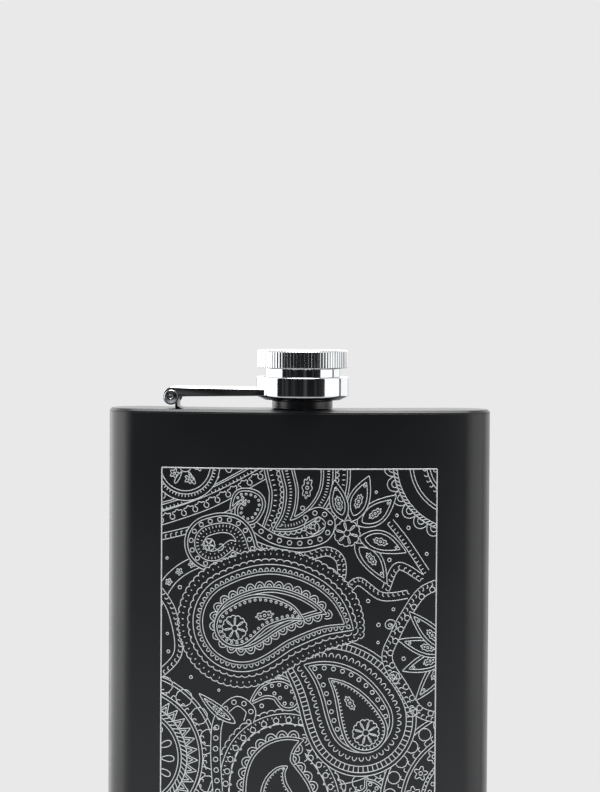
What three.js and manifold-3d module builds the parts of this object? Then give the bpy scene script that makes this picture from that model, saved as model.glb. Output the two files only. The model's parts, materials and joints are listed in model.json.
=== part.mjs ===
// Hip flask with a captive screw cap, in millimetres, +Z up.
// The origin is the centre of the bounding box's bottom face, on the surface the flask stands on.
// -Y is the convex, engraved front; +Y is the hollow back that lies against the hip.
import * as THREE from "three";
import { mergeVertices } from "three/addons/utils/BufferGeometryUtils.js";
import Module from "manifold-3d";

const wasm = await Module();
wasm.setup();

// ---- Driving dimensions ----
const WIDTH = 95; // across the flask
const THICKNESS = 17.5; // front to back, measured square to the curved middle line
const CURVE_RADIUS = 150; // of the middle line, seen from above
const BODY_HEIGHT = 124; // bottom face to the top plate's face
const SHEET = 0.6; // wall of the two body shells
const END_PLATE = 0.85; // thickness of the top and bottom plates
const EDGE_BEVEL = 0.65; // 45 degree edge round both end plates
const LOCATING_LIP = 0.8; // ring that centres an end plate inside the shells
const LIP_GAP = 0.3;

const CAP_AXIS_X = 0.6; // the neck sits a little right of the middle
const NECK_BORE_R = 5.3;
const NECK_ROOT_R = 6.45;
const NECK_CREST_R = 6.9;
const NECK_SHOULDER_R = 7.5;
const NECK_SPIGOT_R = 6.2;
const NECK_TOP = 10.6; // heights of the neck, collar, arm and cap count from the top plate's face
const SHOULDER_TOP = 2.3;
const SPIGOT_DEPTH = 1.8;
const THREAD_PITCH = 2.2;

const COLLAR_R = 11.5;
const COLLAR_CUP_R = 10.3;
const COLLAR_HOLE_R = 8.45;
const COLLAR_RECESS_R = 9.2;
const COLLAR_FOOT_R = 9.65; // where the bottom bevel ends
const COLLAR_BOTTOM = 2.4;
const COLLAR_BEVEL_TOP = 3.2;
const COLLAR_FLOOR_BOTTOM = 3.7;
const COLLAR_FLOOR_TOP = 4.5;
const COLLAR_TOP = 8.1;

const CAP_KNURL_R = 11.35;
const CAP_RIBS = 80;
const CAP_RIB_DEPTH = 0.32;
const CAP_SKIRT_R = 9.37;
const CAP_SKIRT_INNER_R = 8.3;
const CAP_SKIRT_BOTTOM = 4.8;
const CAP_KNURL_BOTTOM = 10.2;
const CAP_TOP = 14.7;
const CAP_ROOF = 1.9;
const CAP_EDGE_BEVEL = 0.25;

const INSERT_R = 8.2;
const INSERT_CREST_R = 7.75;
const INSERT_ROOT_R = 8.0;
const INSERT_FLANGE_R = 9.0;
const INSERT_BOTTOM = 2.6;
const INSERT_FLANGE_TOP = 3.4;
const INSERT_TOP = 10.7;
const GASKET_R = 8.0;
const GASKET_BOTTOM = 10.9;
const GASKET_TOP = 12.7;

const ARM_YAW = -3; // degrees; turns the arm to follow the curved top
const PIN_REACH = 32.3; // from the cap axis to the hinge pin
const PIN_HEIGHT = 3.0;
const PIN_R = 0.9;
const PIN_BORE_R = 0.5;
const PIN_HEAD_R = 1.5;
const PIN_HEAD_LENGTH = 0.5;
const PIN_RUNNING_GAP = 0.1;
const ARM_SHEET = 0.6;
const ARM_WEB_TOP = 2.5; // above the pin
const ARM_FLANGE_DEPTH = 2.45;
const ARM_EAR_R = 2.0;
const ARM_HALF_WIDTH_AT_PIN = 5.0;
const ARM_HALF_WIDTH_AT_COLLAR = 6.4;
const ARM_RISE = 0.55; // of the flanges' lower edges, from the pin to the cap axis
const ARM_FALL = 0.3; // of the upper face
const ARM_WEB_START = -0.4; // the web ends just past the pin
const BRACKET_SHEET = 0.55;
const BRACKET_SIDE_GAP = 0.2;
const BRACKET_FOOT_LENGTH = 1.2; // beyond the leg, under the arm
const WELD_GAP = 0.25; // clearance left where one piece is cut to another's round side

const ROUND_STEPS = 48;
const THREAD_STEPS = 36;
const THREAD_ROWS_PER_PITCH = 5;
const ARC_STEPS = 20;
const END_STEPS = 14;

// ---- Solids ----
function plainGeometry(geometry) {
  const bare = geometry.clone();
  bare.deleteAttribute("normal");
  bare.deleteAttribute("uv");
  return mergeVertices(bare, 1e-4);
}

function toSolid(geometry) {
  const merged = plainGeometry(geometry);
  return new wasm.Manifold(
    new wasm.Mesh({
      numProp: 3,
      vertProperties: merged.attributes.position.array,
      triVerts: new Uint32Array(merged.index.array),
    }),
  );
}

function toGeometry(solid) {
  const { vertProperties, triVerts } = solid.getMesh();
  const geometry = new THREE.BufferGeometry();
  geometry.setAttribute("position", new THREE.BufferAttribute(vertProperties, 3));
  geometry.setIndex(new THREE.BufferAttribute(triVerts, 1));
  return geometry;
}

// A prism from an outline in plan, standing from low to high.
function upright(shape, low, high) {
  const geometry = new THREE.ExtrudeGeometry(shape, {
    depth: high - low,
    bevelEnabled: false,
    curveSegments: ARC_STEPS,
  });
  return geometry.translate(0, 0, low);
}

// A prism from an outline in the X-Z plane, running from y = -half to y = +half.
function sideways(shape, half, curveSegments = ARC_STEPS) {
  const geometry = new THREE.ExtrudeGeometry(shape, { depth: 2 * half, bevelEnabled: false, curveSegments });
  return geometry.rotateX(Math.PI / 2).translate(0, half, 0);
}

// A turned solid from [radius, height] corners, listed upwards along the outside and down the inside.
function turned(corners, steps = ROUND_STEPS) {
  const outline = [...corners, corners[0]].map(([radius, height]) => new THREE.Vector2(radius, height));
  return new THREE.LatheGeometry(outline, steps).rotateX(Math.PI / 2);
}

function disc(radius, low, high, steps = ROUND_STEPS) {
  return turned([[0, low], [radius, low], [radius, high], [0, high]], steps);
}

// Rolled thread height between 0 and 1: a round wave that climbs one pitch a turn and fades out at its ends.
function threadWave(height, angle, { low, high }) {
  const wave = 0.5 + 0.5 * Math.cos(2 * Math.PI * (height / THREAD_PITCH) - angle);
  const fade = Math.min(1, (2 * (height - low)) / THREAD_PITCH, (2 * (high - height)) / THREAD_PITCH);
  return wave * Math.max(0, fade);
}

// A turned sleeve whose wall carries a rolled thread. Corners run as in turned(), and the thread's wall
// is inserted after the corner numbered `after`.
function threadedSleeve(corners, after, thread) {
  const rows = Math.round((thread.high - thread.low) / (THREAD_PITCH / THREAD_ROWS_PER_PITCH));
  const wall = Array.from({ length: rows + 1 }, (_, row) => {
    const height = thread.low + ((thread.high - thread.low) * row) / rows;
    return [thread.root, height, true];
  });
  if (thread.downwards) wall.reverse();
  const outline = [...corners.slice(0, after + 1), ...wall, ...corners.slice(after + 1)];
  const positions = [];
  for (let step = 0; step < THREAD_STEPS; step += 1) {
    const angle = (2 * Math.PI * step) / THREAD_STEPS;
    for (const [radius, height, wavy] of outline) {
      const reach = wavy ? radius + (thread.crest - thread.root) * threadWave(height, angle, thread) : radius;
      positions.push(reach * Math.cos(angle), reach * Math.sin(angle), height);
    }
  }
  const count = outline.length;
  const faces = [];
  for (let step = 0; step < THREAD_STEPS; step += 1)
    for (let corner = 0; corner < count; corner += 1) {
      const next = (corner + 1) % count;
      const here = step * count;
      const there = ((step + 1) % THREAD_STEPS) * count;
      faces.push(here + corner, there + corner, here + next, here + next, there + corner, there + next);
    }
  const geometry = new THREE.BufferGeometry();
  geometry.setAttribute("position", new THREE.Float32BufferAttribute(positions, 3));
  geometry.setIndex(faces);
  return geometry;
}

// ---- The body's plan outline ----
const MIDDLE_HALF = WIDTH / 2 - THICKNESS / 2; // the middle line ends at the centres of the round sides
const SWING = Math.asin(MIDDLE_HALF / CURVE_RADIUS);
const SAGITTA = CURVE_RADIUS * (1 - Math.cos(SWING));
const DEPTH = THICKNESS + SAGITTA;
const MIDDLE_Y = -DEPTH / 2 + THICKNESS / 2; // the middle line at x = 0
const CENTRE_Y = MIDDLE_Y + CURVE_RADIUS; // centre of the body's curve, behind the flask
const SIDE_Y = MIDDLE_Y + SAGITTA; // centre of each round side, and the shells' joint line

// The kidney outline, drawn inset from the flask's outer face. Angles count from -Y.
function kidney(inset) {
  const half = THICKNESS / 2 - inset;
  const at = (radius, angle) =>
    new THREE.Vector2(radius * Math.sin(angle), CENTRE_Y - radius * Math.cos(angle));
  const points = [];
  for (let i = 0; i <= ARC_STEPS; i += 1)
    points.push(at(CURVE_RADIUS + half, -SWING + (2 * SWING * i) / ARC_STEPS));
  const roundEnd = (side) => {
    const centre = at(CURVE_RADIUS, side * SWING);
    for (let i = 1; i < END_STEPS; i += 1) {
      const turn = (Math.PI * i) / END_STEPS;
      const angle = side > 0 ? SWING - Math.PI / 2 + turn : Math.PI / 2 - SWING + turn;
      points.push(new THREE.Vector2(centre.x + half * Math.cos(angle), centre.y + half * Math.sin(angle)));
    }
  };
  roundEnd(1);
  for (let i = 0; i <= ARC_STEPS; i += 1)
    points.push(at(CURVE_RADIUS - half, SWING - (2 * SWING * i) / ARC_STEPS));
  roundEnd(-1);
  return new THREE.Shape(points);
}

// ---- Body ----
const WALL_LOW = END_PLATE;
const WALL_HIGH = BODY_HEIGHT - END_PLATE;

function bodyShells() {
  const tube = toSolid(upright(kidney(0), WALL_LOW, WALL_HIGH)).subtract(
    toSolid(upright(kidney(SHEET), 0, BODY_HEIGHT)),
  );
  const halfPlane = (low, high) =>
    toSolid(new THREE.BoxGeometry(2 * WIDTH, high - low, 2 * BODY_HEIGHT).translate(0, (low + high) / 2, 0));
  return {
    front: toGeometry(tube.intersect(halfPlane(-WIDTH, SIDE_Y))),
    back: toGeometry(tube.intersect(halfPlane(SIDE_Y, WIDTH))),
  };
}

// A pressed end plate: a flat face with a 45 degree edge and a locating ring on its inner side.
// It is built as the bottom plate, with its flat face down at z = 0.
function endPlate() {
  const bevelSteps = 2;
  const face = kidney(EDGE_BEVEL).getPoints();
  const rim = kidney(0).getPoints();
  const layers = [
    [face, 0],
    [rim, EDGE_BEVEL],
    [rim, END_PLATE],
  ];
  const count = face.length;
  const positions = layers.flatMap(([points, height]) => points.flatMap(({ x, y }) => [x, y, height]));
  const faces = [];
  for (let layer = 0; layer < bevelSteps; layer += 1)
    for (let i = 0; i < count; i += 1) {
      const a = layer * count + i;
      const b = layer * count + ((i + 1) % count);
      faces.push(a, b, b + count, a, b + count, a + count);
    }
  for (const [a, b, c] of THREE.ShapeUtils.triangulateShape(face, [])) faces.push(a, c, b);
  const top = bevelSteps * count;
  for (const [a, b, c] of THREE.ShapeUtils.triangulateShape(rim, [])) faces.push(top + a, top + b, top + c);
  const geometry = new THREE.BufferGeometry();
  geometry.setAttribute("position", new THREE.Float32BufferAttribute(positions, 3));
  geometry.setIndex(faces);
  const lipOuter = kidney(SHEET + LIP_GAP);
  const lipInner = kidney(SHEET + LIP_GAP + SHEET);
  const lip = toSolid(upright(lipOuter, END_PLATE / 2, END_PLATE + LOCATING_LIP)).subtract(
    toSolid(upright(lipInner, 0, 2 * END_PLATE + LOCATING_LIP)),
  );
  return toSolid(geometry).add(lip);
}

function topPlate() {
  const hole = toSolid(disc(NECK_SPIGOT_R + WELD_GAP, -1, END_PLATE + 1));
  const plate = endPlate().rotate([180, 0, 0]).mirror([0, 1, 0]).translate([0, 0, BODY_HEIGHT]);
  return toGeometry(plate.subtract(hole.translate([CAP_AXIS_X, MIDDLE_Y, BODY_HEIGHT - END_PLATE])));
}

// ---- Neck, collar and cap, all turned about the cap axis, with z = 0 at the top plate's face ----
function neck() {
  const rimChamfer = 0.4;
  const corners = [
    [NECK_BORE_R, -SPIGOT_DEPTH],
    [NECK_SPIGOT_R, -SPIGOT_DEPTH],
    [NECK_SPIGOT_R, 0],
    [NECK_SHOULDER_R, 0],
    [NECK_SHOULDER_R, SHOULDER_TOP],
    [NECK_ROOT_R, SHOULDER_TOP],
    [NECK_ROOT_R, NECK_TOP - rimChamfer],
    [NECK_ROOT_R - rimChamfer, NECK_TOP],
    [NECK_BORE_R + rimChamfer / 2, NECK_TOP],
    [NECK_BORE_R, NECK_TOP - rimChamfer / 2],
  ];
  const rootCorner = 5;
  return threadedSleeve(corners, rootCorner, {
    root: NECK_ROOT_R,
    crest: NECK_CREST_R,
    low: SHOULDER_TOP + THREAD_PITCH / 4,
    high: NECK_TOP - THREAD_PITCH / 2,
  });
}

function collar() {
  return turned([
    [COLLAR_HOLE_R, COLLAR_FLOOR_BOTTOM],
    [COLLAR_RECESS_R, COLLAR_FLOOR_BOTTOM],
    [COLLAR_RECESS_R, COLLAR_BOTTOM],
    [COLLAR_FOOT_R, COLLAR_BOTTOM],
    [COLLAR_R, COLLAR_BEVEL_TOP],
    [COLLAR_R, COLLAR_TOP],
    [COLLAR_CUP_R, COLLAR_TOP],
    [COLLAR_CUP_R, COLLAR_FLOOR_TOP],
    [COLLAR_HOLE_R, COLLAR_FLOOR_TOP],
  ]);
}

// The gripping rim's outline: round ribs with narrow grooves between them.
function ribbedOutline() {
  const shape = new THREE.Shape();
  const pointsPerRib = 3;
  const total = CAP_RIBS * pointsPerRib;
  for (let i = 0; i < total; i += 1) {
    const angle = (2 * Math.PI * i) / total;
    const radius = i % pointsPerRib === 0 ? CAP_KNURL_R - CAP_RIB_DEPTH : CAP_KNURL_R;
    if (i === 0) shape.moveTo(radius * Math.cos(angle), radius * Math.sin(angle));
    else shape.lineTo(radius * Math.cos(angle), radius * Math.sin(angle));
  }
  return shape;
}

function capShell() {
  const cone = turned([
    [0, CAP_KNURL_BOTTOM - 1],
    [CAP_KNURL_R - CAP_EDGE_BEVEL - 1, CAP_KNURL_BOTTOM - 1],
    [CAP_KNURL_R + 0.65, CAP_KNURL_BOTTOM + 1],
    [CAP_KNURL_R + 0.65, CAP_TOP - 1],
    [CAP_KNURL_R - CAP_EDGE_BEVEL, CAP_TOP],
    [0, CAP_TOP],
  ]);
  const knurl = toSolid(upright(ribbedOutline(), CAP_KNURL_BOTTOM, CAP_TOP)).intersect(toSolid(cone));
  const skirt = toSolid(disc(CAP_SKIRT_R, CAP_SKIRT_BOTTOM, CAP_TOP - CAP_ROOF / 2));
  const hollow = toSolid(disc(CAP_SKIRT_INNER_R, CAP_SKIRT_BOTTOM - 1, CAP_TOP - CAP_ROOF));
  return toGeometry(knurl.add(skirt).subtract(hollow));
}

function threadInsert() {
  const corners = [
    [INSERT_ROOT_R, INSERT_BOTTOM],
    [INSERT_FLANGE_R, INSERT_BOTTOM],
    [INSERT_FLANGE_R, INSERT_FLANGE_TOP],
    [INSERT_R, INSERT_FLANGE_TOP],
    [INSERT_R, INSERT_TOP],
    [INSERT_ROOT_R, INSERT_TOP],
  ];
  return threadedSleeve(corners, corners.length - 1, {
    root: INSERT_ROOT_R,
    crest: INSERT_CREST_R,
    low: INSERT_BOTTOM + THREAD_PITCH / 4,
    high: INSERT_TOP - THREAD_PITCH / 4,
    downwards: true,
  });
}

// ---- Hinge, with the pin's axis along Y through the origin of the hinge group ----
const ARM_FLANGE_BOTTOM = ARM_WEB_TOP - ARM_FLANGE_DEPTH;
const ARM_TOP_BEND = 0.6; // where the web starts to curve down to the ears

// The channel's side view: a strip that rises towards the collar, with a round ear at the pin.
function armSide(inset) {
  const shape = new THREE.Shape();
  shape.moveTo(0, ARM_FLANGE_BOTTOM - inset);
  shape.lineTo(PIN_REACH, ARM_FLANGE_BOTTOM + ARM_RISE - inset);
  shape.lineTo(PIN_REACH, ARM_WEB_TOP - ARM_FALL - inset);
  shape.lineTo(ARM_TOP_BEND, ARM_WEB_TOP - inset);
  shape.bezierCurveTo(-1.2, ARM_WEB_TOP - inset, -ARM_EAR_R, 1.2, -ARM_EAR_R, 0);
  return sideways(shape, 2 * ARM_HALF_WIDTH_AT_COLLAR);
}

// The channel's plan: a strip that widens towards the collar.
function armPlan(inset, start) {
  const widening = (ARM_HALF_WIDTH_AT_COLLAR - ARM_HALF_WIDTH_AT_PIN) / (PIN_REACH - COLLAR_R);
  const halfAt = (x) => ARM_HALF_WIDTH_AT_PIN - inset + Math.max(0, x) * widening;
  const shape = new THREE.Shape();
  shape.moveTo(start, -halfAt(start));
  shape.lineTo(0, -halfAt(0));
  shape.lineTo(PIN_REACH, -halfAt(PIN_REACH));
  shape.lineTo(PIN_REACH, halfAt(PIN_REACH));
  shape.lineTo(0, halfAt(0));
  shape.lineTo(start, halfAt(start));
  return upright(shape, -2 * ARM_EAR_R, 2 * ARM_EAR_R);
}

function alongPin(radius, half, steps = 28) {
  return disc(radius, -half, half, steps).rotateX(Math.PI / 2);
}

function hingeArm() {
  const start = -1.5 * ARM_EAR_R;
  const ears = toSolid(alongPin(ARM_EAR_R, 2 * ARM_HALF_WIDTH_AT_COLLAR));
  const outer = toSolid(armSide(0)).add(ears).intersect(toSolid(armPlan(0, start)));
  const channel = toSolid(armSide(ARM_SHEET)).intersect(toSolid(armPlan(ARM_SHEET, start)));
  const slotHalf = ARM_HALF_WIDTH_AT_PIN - ARM_SHEET;
  const slotLength = ARM_WEB_START - 2 * start;
  const slot = toSolid(
    new THREE.BoxGeometry(slotLength, 2 * slotHalf, 8 * ARM_EAR_R).translate(ARM_WEB_START - slotLength / 2, 0, 0),
  );
  const earHollow = toSolid(alongPin(ARM_EAR_R + 0.5, slotHalf)).intersect(
    toSolid(
      new THREE.BoxGeometry(4 * ARM_EAR_R, 2 * slotHalf, 4 * ARM_EAR_R).translate(
        0,
        0,
        ARM_WEB_TOP - ARM_SHEET - 2 * ARM_EAR_R,
      ),
    ),
  );
  const pinHole = toSolid(alongPin(PIN_R + PIN_RUNNING_GAP, 2 * ARM_HALF_WIDTH_AT_COLLAR));
  const collarCut = toSolid(
    disc(COLLAR_R + WELD_GAP, -4 * ARM_EAR_R, 4 * ARM_EAR_R).translate(PIN_REACH, 0, 0),
  );
  return toGeometry(
    outer.subtract(channel).subtract(slot).subtract(earHollow).subtract(pinHole).subtract(collarCut),
  );
}

// A welded foot, an upright leg and a knuckle curled round the pin, bent from one strip.
function hingeBracket() {
  const inner = PIN_R + PIN_RUNNING_GAP / 2;
  const outer = inner + BRACKET_SHEET;
  const floor = -PIN_HEIGHT;
  const half = ARM_HALF_WIDTH_AT_PIN - ARM_SHEET - BRACKET_SIDE_GAP;
  const shape = new THREE.Shape();
  shape.moveTo(inner, floor);
  shape.lineTo(outer + BRACKET_FOOT_LENGTH, floor);
  shape.lineTo(outer + BRACKET_FOOT_LENGTH, floor + BRACKET_SHEET);
  shape.lineTo(outer, floor + BRACKET_SHEET);
  shape.lineTo(outer, 0);
  shape.absarc(0, 0, outer, 0, 1.45 * Math.PI, false);
  shape.lineTo(inner * Math.cos(1.45 * Math.PI), inner * Math.sin(1.45 * Math.PI));
  shape.absarc(0, 0, inner, 1.45 * Math.PI, 0, true);
  return sideways(shape, half, 12);
}

function hingePin() {
  const headGap = 0.12;
  const shaftHalf = ARM_HALF_WIDTH_AT_PIN + headGap;
  const end = shaftHalf + PIN_HEAD_LENGTH;
  const dome = 0.25;
  return turned(
    [
      [PIN_BORE_R, -end],
      [PIN_HEAD_R - dome, -end],
      [PIN_HEAD_R, -end + dome],
      [PIN_HEAD_R, -shaftHalf],
      [PIN_R, -shaftHalf],
      [PIN_R, shaftHalf],
      [PIN_HEAD_R, shaftHalf],
      [PIN_HEAD_R, end - dome],
      [PIN_HEAD_R - dome, end],
      [PIN_BORE_R, end],
    ],
    28,
  ).rotateX(Math.PI / 2);
}

// ---- Assembly ----
const coated = { color: 0x202124, roughness: 0.5, metalness: 0.2 };
const chromed = { color: 0xd9dbdc, roughness: 0.08, metalness: 1 };
const rubber = { color: 0x2a2a2a, roughness: 0.9, metalness: 0 };

function piece(name, geometry, finish) {
  geometry.computeVertexNormals();
  const mesh = new THREE.Mesh(geometry, new THREE.MeshStandardMaterial(finish));
  mesh.name = name;
  return mesh;
}

// The collar overhangs the front, so the body sits back by half of the difference.
const flask = new THREE.Group();
flask.position.y = -(MIDDLE_Y - COLLAR_R + DEPTH / 2) / 2;
const shells = bodyShells();
flask.add(
  piece("front_shell", shells.front, coated),
  piece("back_shell", shells.back, coated),
  piece("top_plate", topPlate(), coated),
  piece("bottom_plate", toGeometry(endPlate()), coated),
);

const capGroup = new THREE.Group();
capGroup.position.set(CAP_AXIS_X, MIDDLE_Y, BODY_HEIGHT);
capGroup.add(
  piece("neck", neck(), coated),
  piece("collar", collar(), chromed),
  piece("cap_shell", capShell(), chromed),
  piece("thread_insert", threadInsert(), chromed),
  piece("cap_gasket", disc(GASKET_R, GASKET_BOTTOM, GASKET_TOP), rubber),
);
flask.add(capGroup);

const armGroup = new THREE.Group();
armGroup.rotation.z = THREE.MathUtils.degToRad(ARM_YAW);
const hingeGroup = new THREE.Group();
hingeGroup.position.set(-PIN_REACH, 0, PIN_HEIGHT);
hingeGroup.add(
  piece("hinge_arm", hingeArm(), chromed),
  piece("hinge_bracket", hingeBracket(), coated),
  piece("hinge_pin", hingePin(), chromed),
);
armGroup.add(hingeGroup);
capGroup.add(armGroup);

export default flask;
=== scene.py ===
"""Hip flask with a captive screw cap and an engraved front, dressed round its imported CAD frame.

Sizes ending in _mm, and all sizes of shapes, are millimetres; everything handed to Blender is in metres. +Z is up
and -Y is the convex, engraved front of the flask.
"""

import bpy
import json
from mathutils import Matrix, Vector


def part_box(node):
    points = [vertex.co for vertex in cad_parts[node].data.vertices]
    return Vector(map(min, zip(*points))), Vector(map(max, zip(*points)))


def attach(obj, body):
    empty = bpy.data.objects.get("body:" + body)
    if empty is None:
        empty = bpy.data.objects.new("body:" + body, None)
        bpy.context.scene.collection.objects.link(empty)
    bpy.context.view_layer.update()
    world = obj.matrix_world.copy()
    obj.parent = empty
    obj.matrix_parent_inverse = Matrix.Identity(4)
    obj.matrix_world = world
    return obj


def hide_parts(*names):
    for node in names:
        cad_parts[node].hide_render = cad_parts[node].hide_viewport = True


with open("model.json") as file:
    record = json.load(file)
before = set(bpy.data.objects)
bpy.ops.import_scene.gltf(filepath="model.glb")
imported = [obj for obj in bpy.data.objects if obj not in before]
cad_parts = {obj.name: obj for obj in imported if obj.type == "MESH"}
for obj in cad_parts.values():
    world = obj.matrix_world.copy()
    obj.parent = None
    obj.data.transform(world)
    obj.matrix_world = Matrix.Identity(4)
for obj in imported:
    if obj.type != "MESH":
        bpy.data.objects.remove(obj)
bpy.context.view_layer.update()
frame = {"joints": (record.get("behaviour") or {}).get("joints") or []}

import json
import logging
import math
from dataclasses import dataclass, field
from enum import Enum, auto
from typing import Any, Callable, Iterable

import bmesh
import bpy
import numpy as np
from bpy.types import Material, Mesh, Node, NodeTree, Object
from mathutils import Matrix, Vector
from mathutils.geometry import tessellate_polygon

log = logging.getLogger("hip_flask")
MM = 0.001
SMOOTH_ANGLE = math.radians(32)
BRACE_MM = 0.05  # how far from a corner the points that hold its shading sit
PANEL_MARGIN_MM = 14.4
FACE_STEPS, END_STEPS = 96, 28  # steps along a long face and round each half of a round side
FULL_TURN = 2 * math.pi

Point = tuple[float, float]
Output = tuple[Node, Any]
Ripple = Callable[[float, float, float], float]


# ---------------------------------------------------------------- nodes and colours
def linear(hex_colour: str) -> tuple[float, float, float, float]:
    """Turns an sRGB hex colour into a linear one with an alpha of 1."""
    parts = [int(hex_colour[i:i + 2], 16) / 255 for i in (0, 2, 4)]
    return (*(c / 12.92 if c <= 0.04045 else ((c + 0.055) / 1.055) ** 2.4 for c in parts), 1.0)


def plug(node: Node, inputs: dict[Any, Any]) -> Node:
    """Sets a node's inputs.

    Args:
        node: the node.
        inputs: socket name or number to a value, or to (node, output name or number) for a link.

    Returns:
        The same node.
    """
    for socket, value in inputs.items():
        if isinstance(value, tuple) and isinstance(value[0], Node):
            node.id_data.links.new(value[0].outputs[value[1]], node.inputs[socket])
        else:
            node.inputs[socket].default_value = value
    return node


def add_node(tree: NodeTree, kind: str, inputs: dict[Any, Any] | None = None, **settings: Any) -> Node:
    """Adds a node with its attributes (settings) and its inputs, as plug takes them."""
    node = tree.nodes.new(kind)
    for name, value in settings.items():
        setattr(node, name, value)
    return plug(node, inputs or {})


def new_material(name: str, shader_kind: str = "ShaderNodeBsdfPrincipled") -> tuple[Material, Node]:
    """Makes a material with one shader and nothing else, and gives both."""
    material = bpy.data.materials.new(name)
    material.use_nodes = True
    material.node_tree.nodes.clear()
    shader = add_node(material.node_tree, shader_kind)
    add_node(material.node_tree, "ShaderNodeOutputMaterial", {"Surface": (shader, 0)})
    return material, shader


# ---------------------------------------------------------------- finishes
@dataclass(frozen=True)
class Finish:
    """A finish from three patterns: one mixes two shades, one varies the gloss and one raises a fine relief."""

    name: str = ""
    low: str = ""
    high: str = ""
    gloss: Point = (0.5, 0.5)
    gloss_from: Point = (0.0, 1.0)
    relief: float = 0.05
    relief_mm: float = 0.05
    metallic: float = 0.0

    def noise(self, tree: NodeTree, where: Output, size_mm: float, detail: float) -> Node:
        """Adds a 3-D noise whose features have a real size."""
        return add_node(tree, "ShaderNodeTexNoise", {"Vector": where, "Scale": 1 / (size_mm * MM), "Detail": detail})

    def patterns(self, tree: NodeTree, where: Output) -> tuple[Node, Node, Node]:
        """Gives the patterns of the shades, the gloss and the relief."""
        raise NotImplementedError

    def material(self) -> Material:
        """Builds the finish on Object coordinates."""
        material, shader = new_material(self.name)
        tree = material.node_tree
        shades, sheen, height = self.patterns(tree, (add_node(tree, "ShaderNodeTexCoord"), "Object"))
        colour = add_node(tree, "ShaderNodeMix", {"Factor": (shades, "Fac"), 6: linear(self.low),
                                                  7: linear(self.high)}, data_type="RGBA")
        gloss = add_node(tree, "ShaderNodeMapRange", {
            "Value": (sheen, "Fac"), "From Min": self.gloss_from[0], "From Max": self.gloss_from[1],
            "To Min": self.gloss[0], "To Max": self.gloss[1]})
        bump = add_node(tree, "ShaderNodeBump", {"Height": (height, "Fac"), "Strength": self.relief,
                                                 "Distance": self.relief_mm * MM})
        plug(shader, {"Base Color": (colour, 2), "Roughness": (gloss, "Result"), "Normal": (bump, "Normal"),
                      "Metallic": self.metallic})
        return material


@dataclass(frozen=True)
class PowderCoat(Finish):
    """Satin black powder coat over stainless sheet: a fine pebble that breaks the reflections' edges."""

    name: str = "powder_coat_satin_black"
    low: str = "141517"
    high: str = "1b1c1f"
    gloss: Point = (0.27, 0.34)
    gloss_from: Point = (0.3, 0.7)
    grain_mm: float = 0.35  # coarser than the real 0.1 mm pebble, which wouldn't show
    cloud_mm: float = 18.0

    def patterns(self, tree: NodeTree, where: Output) -> tuple[Node, Node, Node]:
        """Gives the pebble, and slow clouds for the gloss."""
        grain = self.noise(tree, where, self.grain_mm, 2.0)
        return grain, self.noise(tree, where, self.cloud_mm, 4.0), grain


@dataclass(frozen=True)
class LaserBaredSteel(Finish):
    """Steel laid bare by the laser: a frosted grey whose fine passes scatter light evenly."""

    name: str = "laser_bared_steel"
    low: str = "c6cbca"
    high: str = "e9edec"
    gloss: Point = (0.5, 0.62)
    relief: float = 0.15
    relief_mm: float = 0.01
    metallic: float = 0.25
    pass_mm: float = 0.12
    patch_mm: float = 1.1

    def patterns(self, tree: NodeTree, where: Output) -> tuple[Node, Node, Node]:
        """Gives uneven patches, and the laser's passes."""
        passes = add_node(tree, "ShaderNodeTexWave", {"Vector": where, "Scale": 0.314 / (self.pass_mm * MM),
                                                      "Distortion": 1.5}, wave_type="BANDS", bands_direction="Z")
        return self.noise(tree, where, self.patch_mm, 3.0), passes, passes


@dataclass(frozen=True)
class PolishedSteel(Finish):
    """Buffed stainless steel: a near mirror with hairline marks that follow the buffing wheel."""

    name: str = "buffed_stainless_steel"
    low: str = "e3e5e6"
    high: str = "cfd2d4"
    gloss: Point = (0.06, 0.11)
    gloss_from: Point = (0.35, 0.7)
    relief: float = 0.015
    relief_mm: float = 0.02
    metallic: float = 1.0
    hairline_mm: float = 0.25
    smear_mm: float = 5.0
    stretch: float = 18.0

    def patterns(self, tree: NodeTree, where: Output) -> tuple[Node, Node, Node]:
        """Gives hand smears, and hairlines drawn out along the wheel's way."""
        drawn = add_node(tree, "ShaderNodeMapping", {"Vector": where, "Scale": (1.0, 1.0, self.stretch)})
        smear = self.noise(tree, where, self.smear_mm, 3.0)
        return smear, smear, self.noise(tree, (drawn, "Vector"), self.hairline_mm * self.stretch, 3.0)


@dataclass(frozen=True)
class SiliconeRubber(Finish):
    """Moulded food-grade silicone: soft, dusty and faintly mottled."""

    name: str = "moulded_silicone"
    low: str = "26282a"
    high: str = "34363a"
    gloss: Point = (0.78, 0.78)
    relief: float = 0.2
    mottle_mm: float = 0.6

    def patterns(self, tree: NodeTree, where: Output) -> tuple[Node, Node, Node]:
        """Gives one mottle for everything."""
        return (self.noise(tree, where, self.mottle_mm, 4.0),) * 3


# ---------------------------------------------------------------- meshes
def mend(mesh: Mesh, thin: bool = False) -> Mesh:
    """Merges doubled corners, points the faces outwards and shades them smooth apart from real edges.

    Args:
        mesh: the mesh.
        thin: also drop edges with no length, as at a pole.

    Returns:
        The same mesh.
    """
    work = bmesh.new()
    work.from_mesh(mesh)
    if thin:
        bmesh.ops.dissolve_degenerate(work, edges=work.edges, dist=1e-7)
    else:
        bmesh.ops.remove_doubles(work, verts=work.verts, dist=1e-7)
    bmesh.ops.recalc_face_normals(work, faces=work.faces)
    work.to_mesh(mesh)
    work.free()
    return shade(mesh)


def shade(mesh: Mesh) -> Mesh:
    """Shades a mesh smooth apart from its real edges."""
    mesh.shade_smooth()
    mesh.set_sharp_from_angle(angle=SMOOTH_ANGLE)
    return mesh


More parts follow.
